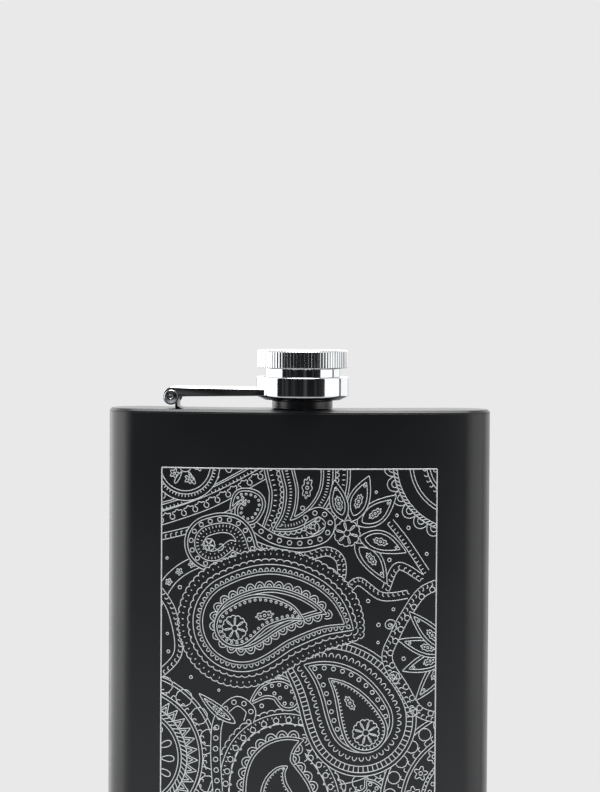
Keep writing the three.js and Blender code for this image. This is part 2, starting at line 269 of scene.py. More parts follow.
def make_object(name: str, vertices: Iterable, faces: Iterable, material: Material | None,
                edges: Iterable = ()) -> Object:
    """Makes an object at the origin.

    Args:
        name: the object's name.
        vertices: points in metres.
        faces: lists of point numbers.
        material: its finish, or None for a construction object.
        edges: loose edges, for line work.

    Returns:
        The object, linked to the scene.
    """
    mesh = bpy.data.meshes.new(name)
    mesh.from_pydata([tuple(map(float, v)) for v in vertices], list(edges), [tuple(f) for f in faces])
    if mesh.polygons:
        mend(mesh)
    if material:
        mesh.materials.append(material)
    piece = bpy.data.objects.new(name, mesh)
    bpy.context.scene.collection.objects.link(piece)
    return piece


def ladder(rows: int, columns: int, close_rows: bool, close_columns: bool) -> list[tuple[int, ...]]:
    """Lists the quads between rows of points that follow each other.

    Args:
        rows: how many rows.
        columns: points in each.
        close_rows: whether the last row joins the first.
        close_columns: whether each row returns to its start.

    Returns:
        The faces' point numbers.
    """
    return [(r * columns + i, (r + 1) % rows * columns + i, (r + 1) % rows * columns + (i + 1) % columns,
             r * columns + (i + 1) % columns)
            for r in range(rows if close_rows else rows - 1) for i in range(columns if close_columns else columns - 1)]


def evaluated(piece: Object) -> Mesh:
    """Gives a plain mesh of a piece with its modifiers applied, and removes them."""
    graph = bpy.context.evaluated_depsgraph_get()
    mesh = bpy.data.meshes.new_from_object(piece.evaluated_get(graph), depsgraph=graph)
    piece.modifiers.clear()
    return mesh


def settle(piece: Object, kind: str, **settings: Any) -> Object:
    """Adds a modifier with its settings to a piece and applies it."""
    modifier = piece.modifiers.new(kind.lower(), kind)
    for name, value in settings.items():
        setattr(modifier, name, value)
    piece.data = shade(evaluated(piece))
    return piece


def soften(piece: Object, width_mm: float) -> Object:
    """Rounds a piece's real edges with a bevel."""
    return settle(piece, "BEVEL", width=width_mm * MM, segments=3, limit_method="ANGLE", angle_limit=math.radians(35))


def hand_over(piece: Object, body: str, slot: str, *nodes: str) -> None:
    """Ties a finished piece to its body and hides the CAD nodes that it stands for.

    Args:
        piece: the finished object.
        body: the CAD body that carries it.
        slot: the record's material slot; not used.
        nodes: CAD nodes that it replaces.
    """
    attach(piece, body)
    if nodes:
        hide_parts(*nodes)
    log.info("%s: %d faces, rides on %s", piece.name, len(piece.data.polygons), body)


def rounded(corners: list[tuple[float, float, float]], steps: int = 5, closed: bool = True) -> list[Point]:
    """Rounds the corners of an outline with true arcs.

    Args:
        corners: (x, y, fillet radius) in order.
        steps: arc steps at each rounded corner.
        closed: whether the outline returns to its start.

    Returns:
        The outline's points.
    """
    points: list[Point] = []
    count = len(corners)
    for i, (x, y, radius) in enumerate(corners):
        here = Vector((x, y))
        if radius <= 0 or (not closed and i in (0, count - 1)):
            points.append((x, y))
            continue
        before = Vector(corners[i - 1][:2]) - here
        after = Vector(corners[(i + 1) % count][:2]) - here
        half = before.angle(after) / 2
        reach = radius / math.tan(half)
        middle = here + (before.normalized() + after.normalized()).normalized() * (radius / math.sin(half))
        first = here + before.normalized() * reach - middle
        last = here + after.normalized() * reach - middle
        sweep = math.atan2(first.cross(last), first.dot(last))
        for step in range(steps + 1):
            turned_arm = Matrix.Rotation(sweep * step / steps, 2) @ first
            points.append(tuple(middle + turned_arm))
    return points


def polar(radius: Any, angles: Iterable[float], centre: Point = (0.0, 0.0)) -> np.ndarray:
    """Gives the points at a radius (or one for each) and angles about a centre."""
    angles = np.asarray(list(angles))
    return np.column_stack([centre[0] + radius * np.cos(angles), centre[1] + radius * np.sin(angles)])


def braced(profile: list[Point], closed: bool = True) -> list[Point]:
    """Adds points beside the corners of long straight runs, which keeps their smooth shading flat.

    Args:
        profile: the outline, in millimetres.
        closed: whether it returns to its start.

    Returns:
        The outline with the added points.
    """
    points: list[Point] = []
    for i, here in enumerate(profile):
        points.append(here)
        after = profile[(i + 1) % len(profile)]
        length = math.dist(here, after)
        if length > 6 * BRACE_MM and (closed or i < len(profile) - 1):
            for share in (BRACE_MM / length, 1 - BRACE_MM / length):
                points.append((here[0] + (after[0] - here[0]) * share, here[1] + (after[1] - here[1]) * share))
    return points


def turned(name: str, profile: list[Point], centre: Vector, material: Material,
           steps: int = 128, axis: str = "Z", ripple: Ripple | None = None) -> Object:
    """Turns a closed profile about an axis.

    Args:
        name: the piece's name.
        profile: (radius, height) in millimetres, closing on itself or ending on the axis.
        centre: the point on the axis where heights are 0, in metres.
        material: its finish.
        steps: steps round the axis.
        axis: "Z", or "Y" for a piece that lies along the hinge pin.
        ripple: gives an added radius from (radius, height, angle), for a thread.

    Returns:
        The piece.
    """
    vertices = []
    profile = braced(profile)
    count = len(profile)
    for angle in (FULL_TURN * step / steps for step in range(steps)):
        for radius, height in profile:
            reach = radius + (ripple(radius, height, angle) if ripple and radius > 0 else 0.0)
            across, along = reach * math.cos(angle), reach * math.sin(angle)
            spot = (across, along, height) if axis == "Z" else (across, height, along)
            vertices.append(centre + Vector(spot) * MM)
    axial = {i for i in range(count) if profile[i][0] == 0 and profile[(i + 1) % count][0] == 0}
    faces = [face for n, face in enumerate(ladder(steps, count, True, True)) if n % count not in axial]
    piece = make_object(name, vertices, faces, material)
    mend(piece.data, thin=True)
    return piece


# ---------------------------------------------------------------- node trees that repeat things
def new_tree(name: str, **sockets: str) -> tuple[NodeTree, Node, Node]:
    """Makes an empty geometry tree.

    Args:
        name: the tree's name.
        sockets: input name to socket type, after the geometry.

    Returns:
        The tree, its input node and its output node.
    """
    tree = bpy.data.node_groups.new(name, "GeometryNodeTree")
    tree.is_modifier = True
    for label, kind in {"Geometry": "Geometry", **sockets, "Material": "Material"}.items():
        tree.interface.new_socket(label, in_out="INPUT", socket_type="NodeSocket" + kind)
    tree.interface.new_socket("Geometry", in_out="OUTPUT", socket_type="NodeSocketGeometry")
    return tree, tree.nodes.new("NodeGroupInput"), tree.nodes.new("NodeGroupOutput")


def end_tree(start: Node, end: Node, shape: Output) -> NodeTree:
    """Ends a tree in real geometry with its material, and gives the tree."""
    tree = end.id_data
    real = add_node(tree, "GeometryNodeRealizeInstances", {"Geometry": shape})
    dressed = add_node(tree, "GeometryNodeSetMaterial", {"Geometry": (real, 0), "Material": (start, "Material")})
    plug(end, {"Geometry": (dressed, 0)})
    return tree


def run_tree(piece: Object, tree: NodeTree, **values: Any) -> Mesh:
    """Evaluates a tree on an object.

    Args:
        piece: the object whose mesh goes in.
        tree: the geometry tree.
        values: input name to value.

    Returns:
        A plain mesh with the result. The modifier is removed.
    """
    modifier = piece.modifiers.new(tree.name, "NODES")
    modifier.node_group = tree
    for item in tree.interface.items_tree:
        if item.in_out == "INPUT" and item.name in values:
            modifier[item.identifier] = values[item.name]
    return evaluated(piece)


def copies_along(start: Node, curve: Output, way: Output) -> Node:
    """Sets copies of the Shape input along a curve.

    Args:
        start: the tree's input node.
        curve: the curve.
        way: the direction that each copy's X takes.

    Returns:
        The node that makes the copies.
    """
    tree = start.id_data
    spots = add_node(tree, "GeometryNodeResampleCurve", {"Curve": curve, "Count": (start, "Count")})
    shape = add_node(tree, "GeometryNodeObjectInfo", {"Object": (start, "Shape")})
    facing = add_node(tree, "FunctionNodeAlignRotationToVector", {"Vector": way}, axis="X", pivot_axis="Z")
    return add_node(tree, "GeometryNodeInstanceOnPoints", {
        "Points": (spots, "Curve"), "Instance": (shape, "Geometry"), "Rotation": (facing, "Rotation")})


def border_tree() -> NodeTree:
    """Builds the tree that sets one small figure along a guide line, facing the way the line runs."""
    tree, start, end = new_tree("figures_along_a_line", Shape="Object", Count="Int")
    curve = add_node(tree, "GeometryNodeMeshToCurve", {"Mesh": (start, "Geometry")})
    copies = copies_along(start, (curve, "Curve"), (add_node(tree, "GeometryNodeInputTangent"), "Tangent"))
    return end_tree(start, end, (copies, "Instances"))


def engraved_line_tree() -> NodeTree:
    """Builds the tree that gives flat line work its width and lays it on the flask's curved front."""
    tree, start, end = new_tree("engraved_line", Width="Float", Depth="Float", Radius="Float", Centre="Float")
    curve = add_node(tree, "GeometryNodeMeshToCurve", {"Mesh": (start, "Geometry")})
    level = add_node(tree, "GeometryNodeSetCurveNormal", {"Curve": (curve, "Curve")}, mode="Z_UP")
    section = add_node(tree, "GeometryNodeCurvePrimitiveQuadrilateral",
                       {"Width": (start, "Width"), "Height": (start, "Depth")})
    ribbon = add_node(tree, "GeometryNodeCurveToMesh",
                      {"Curve": (level, "Curve"), "Profile Curve": (section, "Curve"), "Fill Caps": True})
    parts = add_node(tree, "ShaderNodeSeparateXYZ", {"Vector": (add_node(tree, "GeometryNodeInputPosition"), 0)})

    def sum_of(operation: str, *values: Output) -> Output:
        """Adds one step of arithmetic."""
        return add_node(tree, "ShaderNodeMath", dict(enumerate(values)), operation=operation), 0

    reach = sum_of("ADD", (parts, "Z"), (start, "Radius"))
    angle = sum_of("DIVIDE", (parts, "X"), (start, "Radius"))
    across = sum_of("MULTIPLY", reach, sum_of("SINE", angle))
    deep = sum_of("SUBTRACT", (start, "Centre"), sum_of("MULTIPLY", reach, sum_of("COSINE", angle)))
    bent = add_node(tree, "ShaderNodeCombineXYZ", {"X": across, "Y": deep, "Z": (parts, "Y")})
    laid = add_node(tree, "GeometryNodeSetPosition", {"Geometry": (ribbon, "Mesh"), "Position": (bent, "Vector")})
    return end_tree(start, end, (laid, "Geometry"))


def ring_of_ribs_tree() -> NodeTree:
    """Builds the tree that stands ribs round the cap's rim."""
    tree, start, end = new_tree("ring_of_ribs", Shape="Object", Count="Int", Radius="Float")
    ring = add_node(tree, "GeometryNodeCurvePrimitiveCircle", {"Resolution": 256, "Radius": (start, "Radius")})
    copies = copies_along(start, (ring, "Curve"), (add_node(tree, "GeometryNodeInputPosition"), "Position"))
    joined = add_node(tree, "GeometryNodeJoinGeometry", {"Geometry": (copies, "Instances")})
    plug(joined, {"Geometry": (start, "Geometry")})
    return end_tree(start, end, (joined, "Geometry"))


# ---------------------------------------------------------------- the flask's plan
@dataclass(frozen=True)
class Plan:
    """The kidney outline seen from above, in millimetres."""

    width: float
    centre_y: float
    thickness: float = 17.5
    curve_radius: float = 150.0

    @classmethod
    def from_frame(cls) -> "Plan":
        """Reads the outline's width and place from the bottom plate."""
        low, high = (Vector(corner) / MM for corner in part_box("bottom_plate"))
        return cls(round(high.x - low.x, 1), low.y + cls.thickness / 2 + cls.curve_radius)

    @property
    def swing(self) -> float:
        """Half of the angle that the middle line sweeps."""
        return math.asin((self.width - self.thickness) / 2 / self.curve_radius)

    @property
    def front_radius(self) -> float:
        """Radius of the convex front face."""
        return self.curve_radius + self.thickness / 2

    def walk(self, inset: float, front: bool = True, back: bool = True) -> np.ndarray:
        """Walks round the outline, counter-clockwise from above.

        Args:
            inset: how far inside the outer face.
            front: include the front and its share of the round sides.
            back: include the back and its share.

        Returns:
            Points, one row each.
        """
        half, swing, radius = self.thickness / 2 - inset, self.swing, self.curve_radius
        quarter, middle = math.pi / 2, (0.0, self.centre_y)
        left, right = polar(radius, (-quarter - swing, -quarter + swing), middle)
        sweeps = []
        if front:
            sweeps += [(left, half, END_STEPS, math.pi, 3 * quarter - swing),
                       (middle, radius + half, FACE_STEPS, -quarter - swing, -quarter + swing),
                       (right, half, END_STEPS, -quarter + swing, 0.0)]
        if back:
            sweeps += [(right, half, END_STEPS, 0.0, quarter + swing),
                       (middle, radius - half, FACE_STEPS, -quarter + swing, -quarter - swing),
                       (left, half, END_STEPS, quarter - swing, math.pi)]
        points: list[Point] = []
        for place, reach, steps, first, last in sweeps:
            for spot in polar(reach, np.linspace(first, last, steps + 1), place):
                if not points or math.dist(points[-1], spot) > 1e-6:
                    points.append(spot)
        if front and back:
            points.pop()
        return np.array(points)


@dataclass
class FlaskBody:
    """The welded body: two pressed shells between two pressed end plates."""

    plan: Plan
    coat: Material
    sheet: float = 0.6
    seam: float = 0.1
    rim_bevel: float = 0.55
    rim_round: float = 0.06

    def shells(self) -> None:
        """Builds the front and back shells, each with a fine break at its welded edges."""
        for name, front in (("front_shell", True), ("back_shell", False)):
            low, high = (corner[2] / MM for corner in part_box(name))
            profile = rounded([(0, low, self.seam), (0, high, self.seam), (self.sheet, high, 0),
                               (self.sheet, low, 0)], steps=4)
            rings = [[(x, y, height) for x, y in self.plan.walk(inset, front, not front)]
                     for inset, height in braced(profile)]
            stations, count = len(rings[0]), len(rings)
            faces = ladder(stations, count, False, True)
            faces += [tuple(range(count)), tuple((stations - 1) * count + i for i in range(count))]
            shell = make_object(name + "_fine", [Vector(ring[s]) * MM for s in range(stations) for ring in rings],
                                faces, self.coat)
            hand_over(shell, "flask", "black_coating", name)

    def end_plate(self, node: str, face: float, inner: float, hole: tuple[Point, float] | None = None) -> None:
        """Builds an end plate: a flat pressed face, a bevelled rim and a short tucked edge.

        Args:
            node: the CAD node that it replaces.
            face: height of the flat outer face.
            inner: height of the plate's inner face.
            hole: centre and radius of the neck's hole.
        """
        inward = math.copysign(1.0, inner - face)
        corners = [(2.2, face, 0), (self.rim_bevel, face, self.rim_round * 3),
                   (0, face + inward * self.rim_bevel, self.rim_round), (0, inner, 0.06), (self.sheet + 1.0, inner, 0),
                   (2.2, inner - inward * 0.1, 0)]
        profile = braced(rounded(corners, steps=5, closed=False), closed=False)
        rim = [self.plan.walk(inset) for inset, _ in profile]
        stations, count = len(rim[0]), len(profile)
        vertices = [(rim[i][s][0], rim[i][s][1], profile[i][1]) for s in range(stations) for i in range(count)]
        faces = ladder(stations, count, True, False)
        for edge in (0, count - 1):
            loops = [[Vector((*rim[edge][s], profile[edge][1])) for s in range(stations)]]
            numbers = [s * count + edge for s in range(stations)]
            if hole:
                centre, radius = hole
                loops.append([Vector((*spot, profile[edge][1])) for spot in circle(centre, radius, 64)])
                numbers += range(len(vertices), len(vertices) + 64)
                vertices += loops[1]
            faces += [tuple(numbers[i] for i in triangle) for triangle in tessellate_polygon(loops)]
        if hole:
            first, second = len(vertices) - 128, len(vertices) - 64
            faces += [(first + i, first + (i + 1) % 64, second + (i + 1) % 64, second + i) for i in range(64)]
        plate = make_object(node + "_fine", [Vector(v) * MM for v in vertices], faces, self.coat)
        hand_over(plate, "flask", "black_coating", node)

    def build(self, neck_centre: Point) -> None:
        """Builds the whole body.

        Args:
            neck_centre: where the neck passes through the top plate.
        """
        self.shells()
        shell_low, shell_high = (corner[2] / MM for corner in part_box("front_shell"))
        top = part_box("top_plate")[1][2] / MM
        self.end_plate("top_plate", top, shell_high, (neck_centre, 6.3))
        self.end_plate("bottom_plate", 0.0, shell_low)


# ---------------------------------------------------------------- the neck and the cap
@dataclass
class SpoutAndCap:
    """Everything turned about the cap's axis. Heights count from the top plate's face."""

    centre: Vector
    coat: Material
    steel: Material
    rubber: Material
    pitch: float = 2.2
    rib_count: int = 84
    knurl_radius: float = 11.35
    rib_height: float = 0.24
    spout_bore: float = 5.3
    spout_radius: float = 6.45
    spout_top: float = 10.6
    cup_radius: float = 11.5
    sleeve_bore: float = 8.0
    skirt_bore: float = 8.3
    roof: float = 14.62
    roof_inside: float = 12.8

    def thread(self, low: float, high: float, rise: float, wall_radius: float) -> Ripple:
        """Describes a rolled thread as an added radius.

        Args:
            low: where it starts.
            high: where it ends.
            rise: crest height, negative for an inner thread.
            wall_radius: only this wall carries it.

        Returns:
            A function of radius, height and angle.
        """
        def ripple(radius: float, height: float, angle: float) -> float:
            """Gives the thread's height at one spot."""
            if abs(radius - wall_radius) > 1e-6 or not low < height < high:
                return 0.0
            wave = max(0.0, math.cos(FULL_TURN * height / self.pitch - angle) * 0.75 + 0.25)
            fade = min(1.0, 2 * (height - low) / self.pitch, 2 * (high - height) / self.pitch)
            return rise * wave * fade
        return ripple

    def neck(self) -> None:
        """Builds the black spout with its welded foot, shoulder and thread."""
        bore, radius, top = self.spout_bore, self.spout_radius, self.spout_top
        rows = [(radius, h, 0) for h in np.linspace(2.6, 9.9, 60)]
        corners = [(bore, -1.8, 0.1), (6.2, -1.8, 0.2), (6.2, 0.01, 0), (7.85, 0.01, 0), (7.5, 0.35, 0.25),
                   (7.5, 2.3, 0.3), (radius, 2.3, 0), *rows, (radius, top, 0.35), (bore, top, 0.2)]
        spout = turned("neck_fine", rounded(corners, 4), self.centre, self.coat, 160,
                       ripple=self.thread(2.7, 9.8, 0.45, radius))
        hand_over(spout, "flask", "black_coating", "neck")

    def collar(self) -> None:
        """Builds the captive collar: a polished cup with a rolled lip and a turned-in foot."""
        corners = [(8.45, 3.7, 0.1), (9.2, 3.7, 0), (9.2, 2.4, 0.1), (9.65, 2.4, 0.3),
                   (self.cup_radius, 3.25, 0.55), (self.cup_radius, 8.1, 0.3), (10.3, 8.1, 0.25), (10.3, 4.5, 0.3),
                   (8.45, 4.5, 0.1)]
        cup = turned("collar_fine", rounded(corners, 6), self.centre, self.steel, 160)
        hand_over(cup, "arm", "polished_cap", "collar")

    def rib(self) -> Object:
        """Shapes one upright rib of the knurl, standing out along +X.

        Returns:
            A construction object.
        """
        half_width = math.pi * self.knurl_radius / self.rib_count * 0.9
        low, high, end = 10.3, 14.52, 0.2
        stations = [(low, 0.1), (low + end * 0.4, 0.7), (low + end, 1.0), (low + end + 0.05, 1.0),
                    (high - end - 0.05, 1.0), (high - end, 1.0), (high - end * 0.4, 0.7), (high, 0.1)]
        half_crown = [(1.0, 0.0), (0.88, 0.6), (0.74, 0.84), (0.4, 0.95), (0.0, 1.0)]
        arc = half_crown + [(-across, up) for across, up in half_crown[-2::-1]]
        vertices = [((self.rib_height * up * scale - 0.05) * MM, half_width * across * MM, z * MM)
                    for z, scale in stations for across, up in arc]
        width = len(arc)
        faces = ladder(len(stations), width, False, True)
        faces += [tuple(range(width)), tuple((len(stations) - 1) * width + i for i in range(width))]
        return make_object("rib_shape", vertices, faces, None)

    def cap(self) -> None:
        """Builds the cap: a ribbed rim over a plain skirt, hollow below a flat roof."""
        core = self.knurl_radius - self.rib_height + 0.04
        corners = [(self.skirt_bore, 4.8, 0.1), (9.37, 4.8, 0.15), (9.37, 10.15, 0.12), (core - 0.15, 10.2, 0.2),
                   (core, 10.45, 0.1), (core, 14.5, 0.1), (core - 0.2, 14.7, 0.2), (9.9, 14.7, 0.2),
                   (9.7, self.roof, 0.2), (0, self.roof, 0), (0, self.roof_inside, 0),
                   (self.skirt_bore, self.roof_inside, 0.3)]
        blank = turned("cap_shell_fine", rounded(corners, 6), Vector((0, 0, 0)), self.steel, 240)
        rib = self.rib()
        blank.data = run_tree(blank, ring_of_ribs_tree(), Shape=rib, Count=self.rib_count, Radius=core * MM,
                              Material=self.steel)
        blank.data.transform(Matrix.Translation(self.centre))
        shade(blank.data)
        bpy.data.objects.remove(rib)
        hand_over(blank, "cap", "polished_cap", "cap_shell")

    def insert(self) -> None:
        """Builds the threaded sleeve whose flange keeps the collar on the cap."""
        bore = self.sleeve_bore
        rows = [(bore, h, 0) for h in np.linspace(10.1, 3.1, 56)]
        corners = [(bore, 2.6, 0), (9.0, 2.6, 0.2), (9.0, 3.4, 0.2), (8.2, 3.4, 0.1), (8.2, 10.7, 0), (bore, 10.7, 0),
                   *rows]
        sleeve = turned("thread_insert_fine", rounded(corners, 4), self.centre, self.steel, 128,
                        ripple=self.thread(3.2, 10.0, -0.25, bore))
        hand_over(sleeve, "cap", "polished_cap", "thread_insert")

    def gasket(self) -> None:
        """Builds the silicone sealing disc with the ring that the spout has pressed into it."""
        corners = [(0, 10.95, 0), (5.2, 10.95, 0.2), (5.4, 11.1, 0.15), (6.6, 11.1, 0.15), (6.8, 10.9, 0.2),
                   (8.0, 10.9, 0.35), (8.0, 12.7, 0.35), (0, 12.7, 0)]
        disc = turned("cap_gasket_fine", rounded(corners, 4), self.centre, self.rubber, 96)
        hand_over(disc, "cap", "gasket_rubber", "cap_gasket")

    def build(self) -> None:
        """Builds the neck, the collar and the cap."""
        self.neck()
        self.collar()
        self.cap()
        self.insert()
        self.gasket()


# ---------------------------------------------------------------- the hinge
@dataclass
class Hinge:
    """The arm, its bracket and its pin, built with the pin along +Y at the origin, then set in place."""

    place: Matrix
    coat: Material
    steel: Material
    reach: float = 32.3
    ear: float = 2.0
    sheet: float = 0.6
    web_top: float = 2.5
    web_start: float = -0.4
    flange: float = 2.45
    bend: float = 0.5
    half_at_pin: float = 5.0
    half_at_collar: float = 6.85
    rise: float = 0.55
    fall: float = 0.3
    collar_radius: float = 11.5
    weld: float = 0.2
    cup_reach: float = 8.8
    flange_start: float = 4.0
    bore: float = 1.0
    side_gap: float = 0.2
    edge_round: float = 0.1

    @property
    def length(self) -> float:
        """Gives the strip's length from the pin, which ends just inside the collar."""
        return self.reach - self.cup_reach

    def half_at(self, x: float) -> float:
        """Gives the channel's half width at a distance from the pin."""
        return self.half_at_pin + x * (self.half_at_collar - self.half_at_pin) / (self.reach - self.collar_radius)

    def deliver(self, piece: Object, body: str, slot: str, node: str) -> None:
        """Moves a piece's mesh from the pin's frame to the flask's and hands it over."""
        piece.data.transform(self.place)
        hand_over(piece, body, slot, node)

    def top_line(self) -> np.ndarray:
        """Draws the arm's upper edge from the collar to the ear's left side, as (x, z) rows."""
        straight = [(x, self.web_top - self.fall / self.reach * x) for x in np.linspace(self.length, 0.6, 9)]
        knots = [np.array(k) for k in ((0.6, self.web_top), (-1.2, self.web_top), (-self.ear, 1.2), (-self.ear, 0.0))]
        curve = [(1 - t) ** 3 * knots[0] + 3 * t * (1 - t) ** 2 * knots[1] + 3 * t * t * (1 - t) * knots[2]
                 + t ** 3 * knots[3] for t in np.linspace(0, 1, 16)[1:]]
        return np.vstack([straight, curve])

    def outline(self) -> tuple[np.ndarray, np.ndarray]:
        """Draws the arm's side view as a path along the top, round the ear and back under the flange.

        Returns:
            The path's (x, z) rows, and at each the unit direction into the sheet.
        """
        lift, bottom = self.rise / self.reach, self.web_top - self.flange
        ear = polar(self.ear, np.linspace(math.pi, math.radians(350), 40)[1:])
        under = [(self.ear + 0.3, bottom - 0.16), (self.ear + 0.85, bottom)]
        under += [(x, bottom + lift * x) for x in np.linspace(self.flange_start, self.length, 8)]
        path = np.vstack([self.top_line(), ear, under])
        steps = np.diff(path, axis=0)
        steps /= np.linalg.norm(steps, axis=1)[:, None]
        along = np.vstack([steps[:1], steps[:-1] + steps[1:], steps[-1:]])
        along /= np.linalg.norm(along, axis=1)[:, None]
        return path, np.stack([-along[:, 1], along[:, 0]], 1)

    def arm(self) -> None:
        """Builds the polished channel with its two ears, as bent from one strip."""
        path, inward = self.outline()
        count, web_end = len(path), int(np.argmax(path[:, 0] < self.web_start))
        sweep = np.radians(np.linspace(0, 90, 7))
        vertices: list[Vector] = []
        for side in (-1, 1):
            for i, (point, into) in enumerate(zip(path, inward)):
                ease = min(1.0, max(0.0, (point[0] + 1.8) / 3.8)) if point[1] > 0.5 * self.ear else 0.0
                bend = self.edge_round + (self.bend - self.edge_round) * ease * ease * (3 - 2 * ease)
                spots = [(self.sheet, 0.0), (self.sheet, self.sheet)]
                spots += [(bend - bend * math.sin(a), bend - bend * math.cos(a)) for a in sweep]
                for depth, drop in spots + [(0.0, bend + 0.12)]:
                    x, z = point + into * drop
                    vertices.append(Vector((x, side * (self.half_at(x) - depth), z)) * MM)
        row = 3 + len(sweep)  # inner face, web's underside, the bend, and a point that holds its shading
        sides = left, right = 0, count * row
        chain = [0, *range(2, row)]
        faces: list[tuple[int, ...]] = []
        for start in sides:
            for i in range(start, start + (count - 1) * row, row):
                faces += [(i + a, i + row + a, i + row + b, i + b) for a, b in zip(chain, chain[1:])]
            faces.append(tuple(start + i * row + row - 1 for i in range(count)))
            faces.append(tuple(start + i * row + 1 for i in range(web_end + 1))
                         + tuple(start + i * row for i in range(web_end, count)))
        for i in range(web_end):
            faces += [(left + i * row + k, left + (i + 1) * row + k, right + (i + 1) * row + k, right + i * row + k)
                      for k in (0, 1)]
        i, last = web_end * row, (count - 1) * row
        faces.append((left + i, right + i, right + i + 1, left + i + 1))
        half = [1, last, *range(last + 2, last + row), *range(row - 1, 1, -1), 0]
        faces.append(tuple(right + k for k in half) + tuple(left + k for k in half[::-1]))
        web = make_object("hinge_arm_fine", vertices, faces, self.steel)
        for name, radius, x, steps, axis in (("hole", self.bore, 0.0, 48, "Y"),
                                             ("cup", self.collar_radius - self.weld, self.reach, 128, "Z")):
            tool = turned(name, [(0, -9), (radius, -9), (radius, 9), (0, 9)], Vector((x * MM, 0, 0)), self.steel,
                          steps, axis)
            settle(web, "BOOLEAN", operation="DIFFERENCE", solver="EXACT", object=tool)
            bpy.data.objects.remove(tool)
        settle(web, "WELD", merge_threshold=0.002 * MM)
        soften(web, 0.08)
        self.deliver(web, "arm", "polished_arm", "hinge_arm")

    def bracket(self) -> None:
        """Builds the bracket: a welded foot, an upright leg and a knuckle curled round the pin."""
        inner, thick, floor = 0.95, 0.55, -self.place_height()
        outer = inner + thick
        curl = math.radians(261)
        outline = [(inner + 0.1, floor), (outer + 1.1, floor), (outer + 1.1, floor + 0.12), (outer + 0.6, floor + 0.3),
                   (outer + 0.25, floor + thick), (outer + 0.06, floor + thick + 0.25), (outer, floor + thick + 0.5)]
        outline += [*polar(outer, np.linspace(0, curl, 40)), *polar(inner, np.linspace(curl, 0, 40))]
        outline += [(inner, floor + 0.3), (inner + 0.03, floor + 0.1)]
        half, count = self.half_at_pin - self.sheet - self.side_gap, len(outline)
        faces = [tuple(range(count)), tuple(range(count, 2 * count)), *ladder(2, count, False, True)]
        strap = make_object("hinge_bracket_fine", [Vector((x, y, z)) * MM for y in (-half, half) for x, z in outline],
                            faces, self.coat)
        soften(strap, 0.07)
        self.deliver(strap, "flask", "black_coating", "hinge_bracket")

    def place_height(self) -> float:
        """Gives the pin's height over the top plate, in millimetres."""
        return (self.place.translation.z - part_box("top_plate")[1][2]) / MM

    def pin(self) -> None:
        """Builds the hollow rivet, with rolled-over heads outside the ears."""
        shaft, head = self.half_at_pin + 0.12, 0.5
        end = shaft + head
        half = [(0, end - 0.45, 0), (0.4, end - 0.42, 0.1), (0.5, end - 0.06, 0.1), (0.85, end, 0.3),
                (1.72, shaft + 0.16, 0.2), (1.72, shaft, 0.06), (0.9, shaft, 0)]
        corners = half + [(r, -h, fillet) for r, h, fillet in half[::-1]]
        rivet = turned("hinge_pin_fine", rounded(corners, 5), Vector((0, 0, 0)), self.steel, 64, "Y")
        self.deliver(rivet, "flask", "polished_arm", "hinge_pin")

    def build(self) -> None:
        """Builds the arm, the bracket and the pin."""
        self.arm()
        self.bracket()
        self.pin()


# ---------------------------------------------------------------- line work
def evenly(points: Iterable, step: float, closed: bool = False) -> np.ndarray:
    """Spaces points evenly along a line.

    Args:
        points: the line.
        step: the wanted spacing.
        closed: whether the line returns to its start.

    Returns:
        The new points. A closed line isn't repeated at its end.
    """
    line = np.asarray(points, dtype=float)
    if closed:
        line = np.vstack([line, line[:1]])
    spans = np.hypot(*np.diff(line, axis=0).T)
    along = np.concatenate([[0.0], np.cumsum(spans)])
    count = max(2, int(round(along[-1] / step)) + 1)
    places = np.linspace(0, along[-1], count)
    even = np.column_stack([np.interp(places, along, line[:, i]) for i in (0, 1)])
    return even[:-1] if closed else even


def smooth_line(knots: list[Point], steps: int = 14) -> np.ndarray:
    """Runs a Catmull-Rom curve through a few knots.

    Args:
        knots: the points that the curve passes.
        steps: points for each span.

    Returns:
        The curve's points.
    """
    p = np.array([knots[0], *knots, knots[-1]], dtype=float)
    t = np.linspace(0, 1, steps, endpoint=False)[:, None]
    spans = [0.5 * (2 * p[i] + (p[i + 1] - p[i - 1]) * t + (2 * p[i - 1] - 5 * p[i] + 4 * p[i + 1] - p[i + 2]) * t ** 2
                    + (3 * p[i] - p[i - 1] - 3 * p[i + 1] + p[i + 2]) * t ** 3) for i in range(1, len(p) - 2)]
    return np.vstack([*spans, p[-1:]])


def frame_of(line: np.ndarray) -> tuple[np.ndarray, np.ndarray]:
    """Gives an open line's unit tangents, and its normals to the left."""
    tangent = np.gradient(line, axis=0)
    tangent /= np.maximum(np.hypot(*tangent.T), 1e-9)[:, None]
    return tangent, np.column_stack([-tangent[:, 1], tangent[:, 0]])


def beside(line: np.ndarray, distance: float) -> np.ndarray:
    """Draws a line parallel to an open one, to its left."""
    return line + distance * frame_of(line)[1]


def circle(centre: Point, radius: float, steps: int = 64) -> np.ndarray:
    """Draws a closed circle, counter-clockwise."""
    return polar(radius, np.linspace(0, FULL_TURN, steps, endpoint=False), centre)


def spiral(centre: Point, start: float, end: float, first: float, turns: float) -> np.ndarray:
    """Draws a spiral between two radii, from an angle in degrees."""
    t = np.linspace(0, 1, 40)
    return polar(start + (end - start) * t, math.radians(first) + FULL_TURN * turns * t, centre)


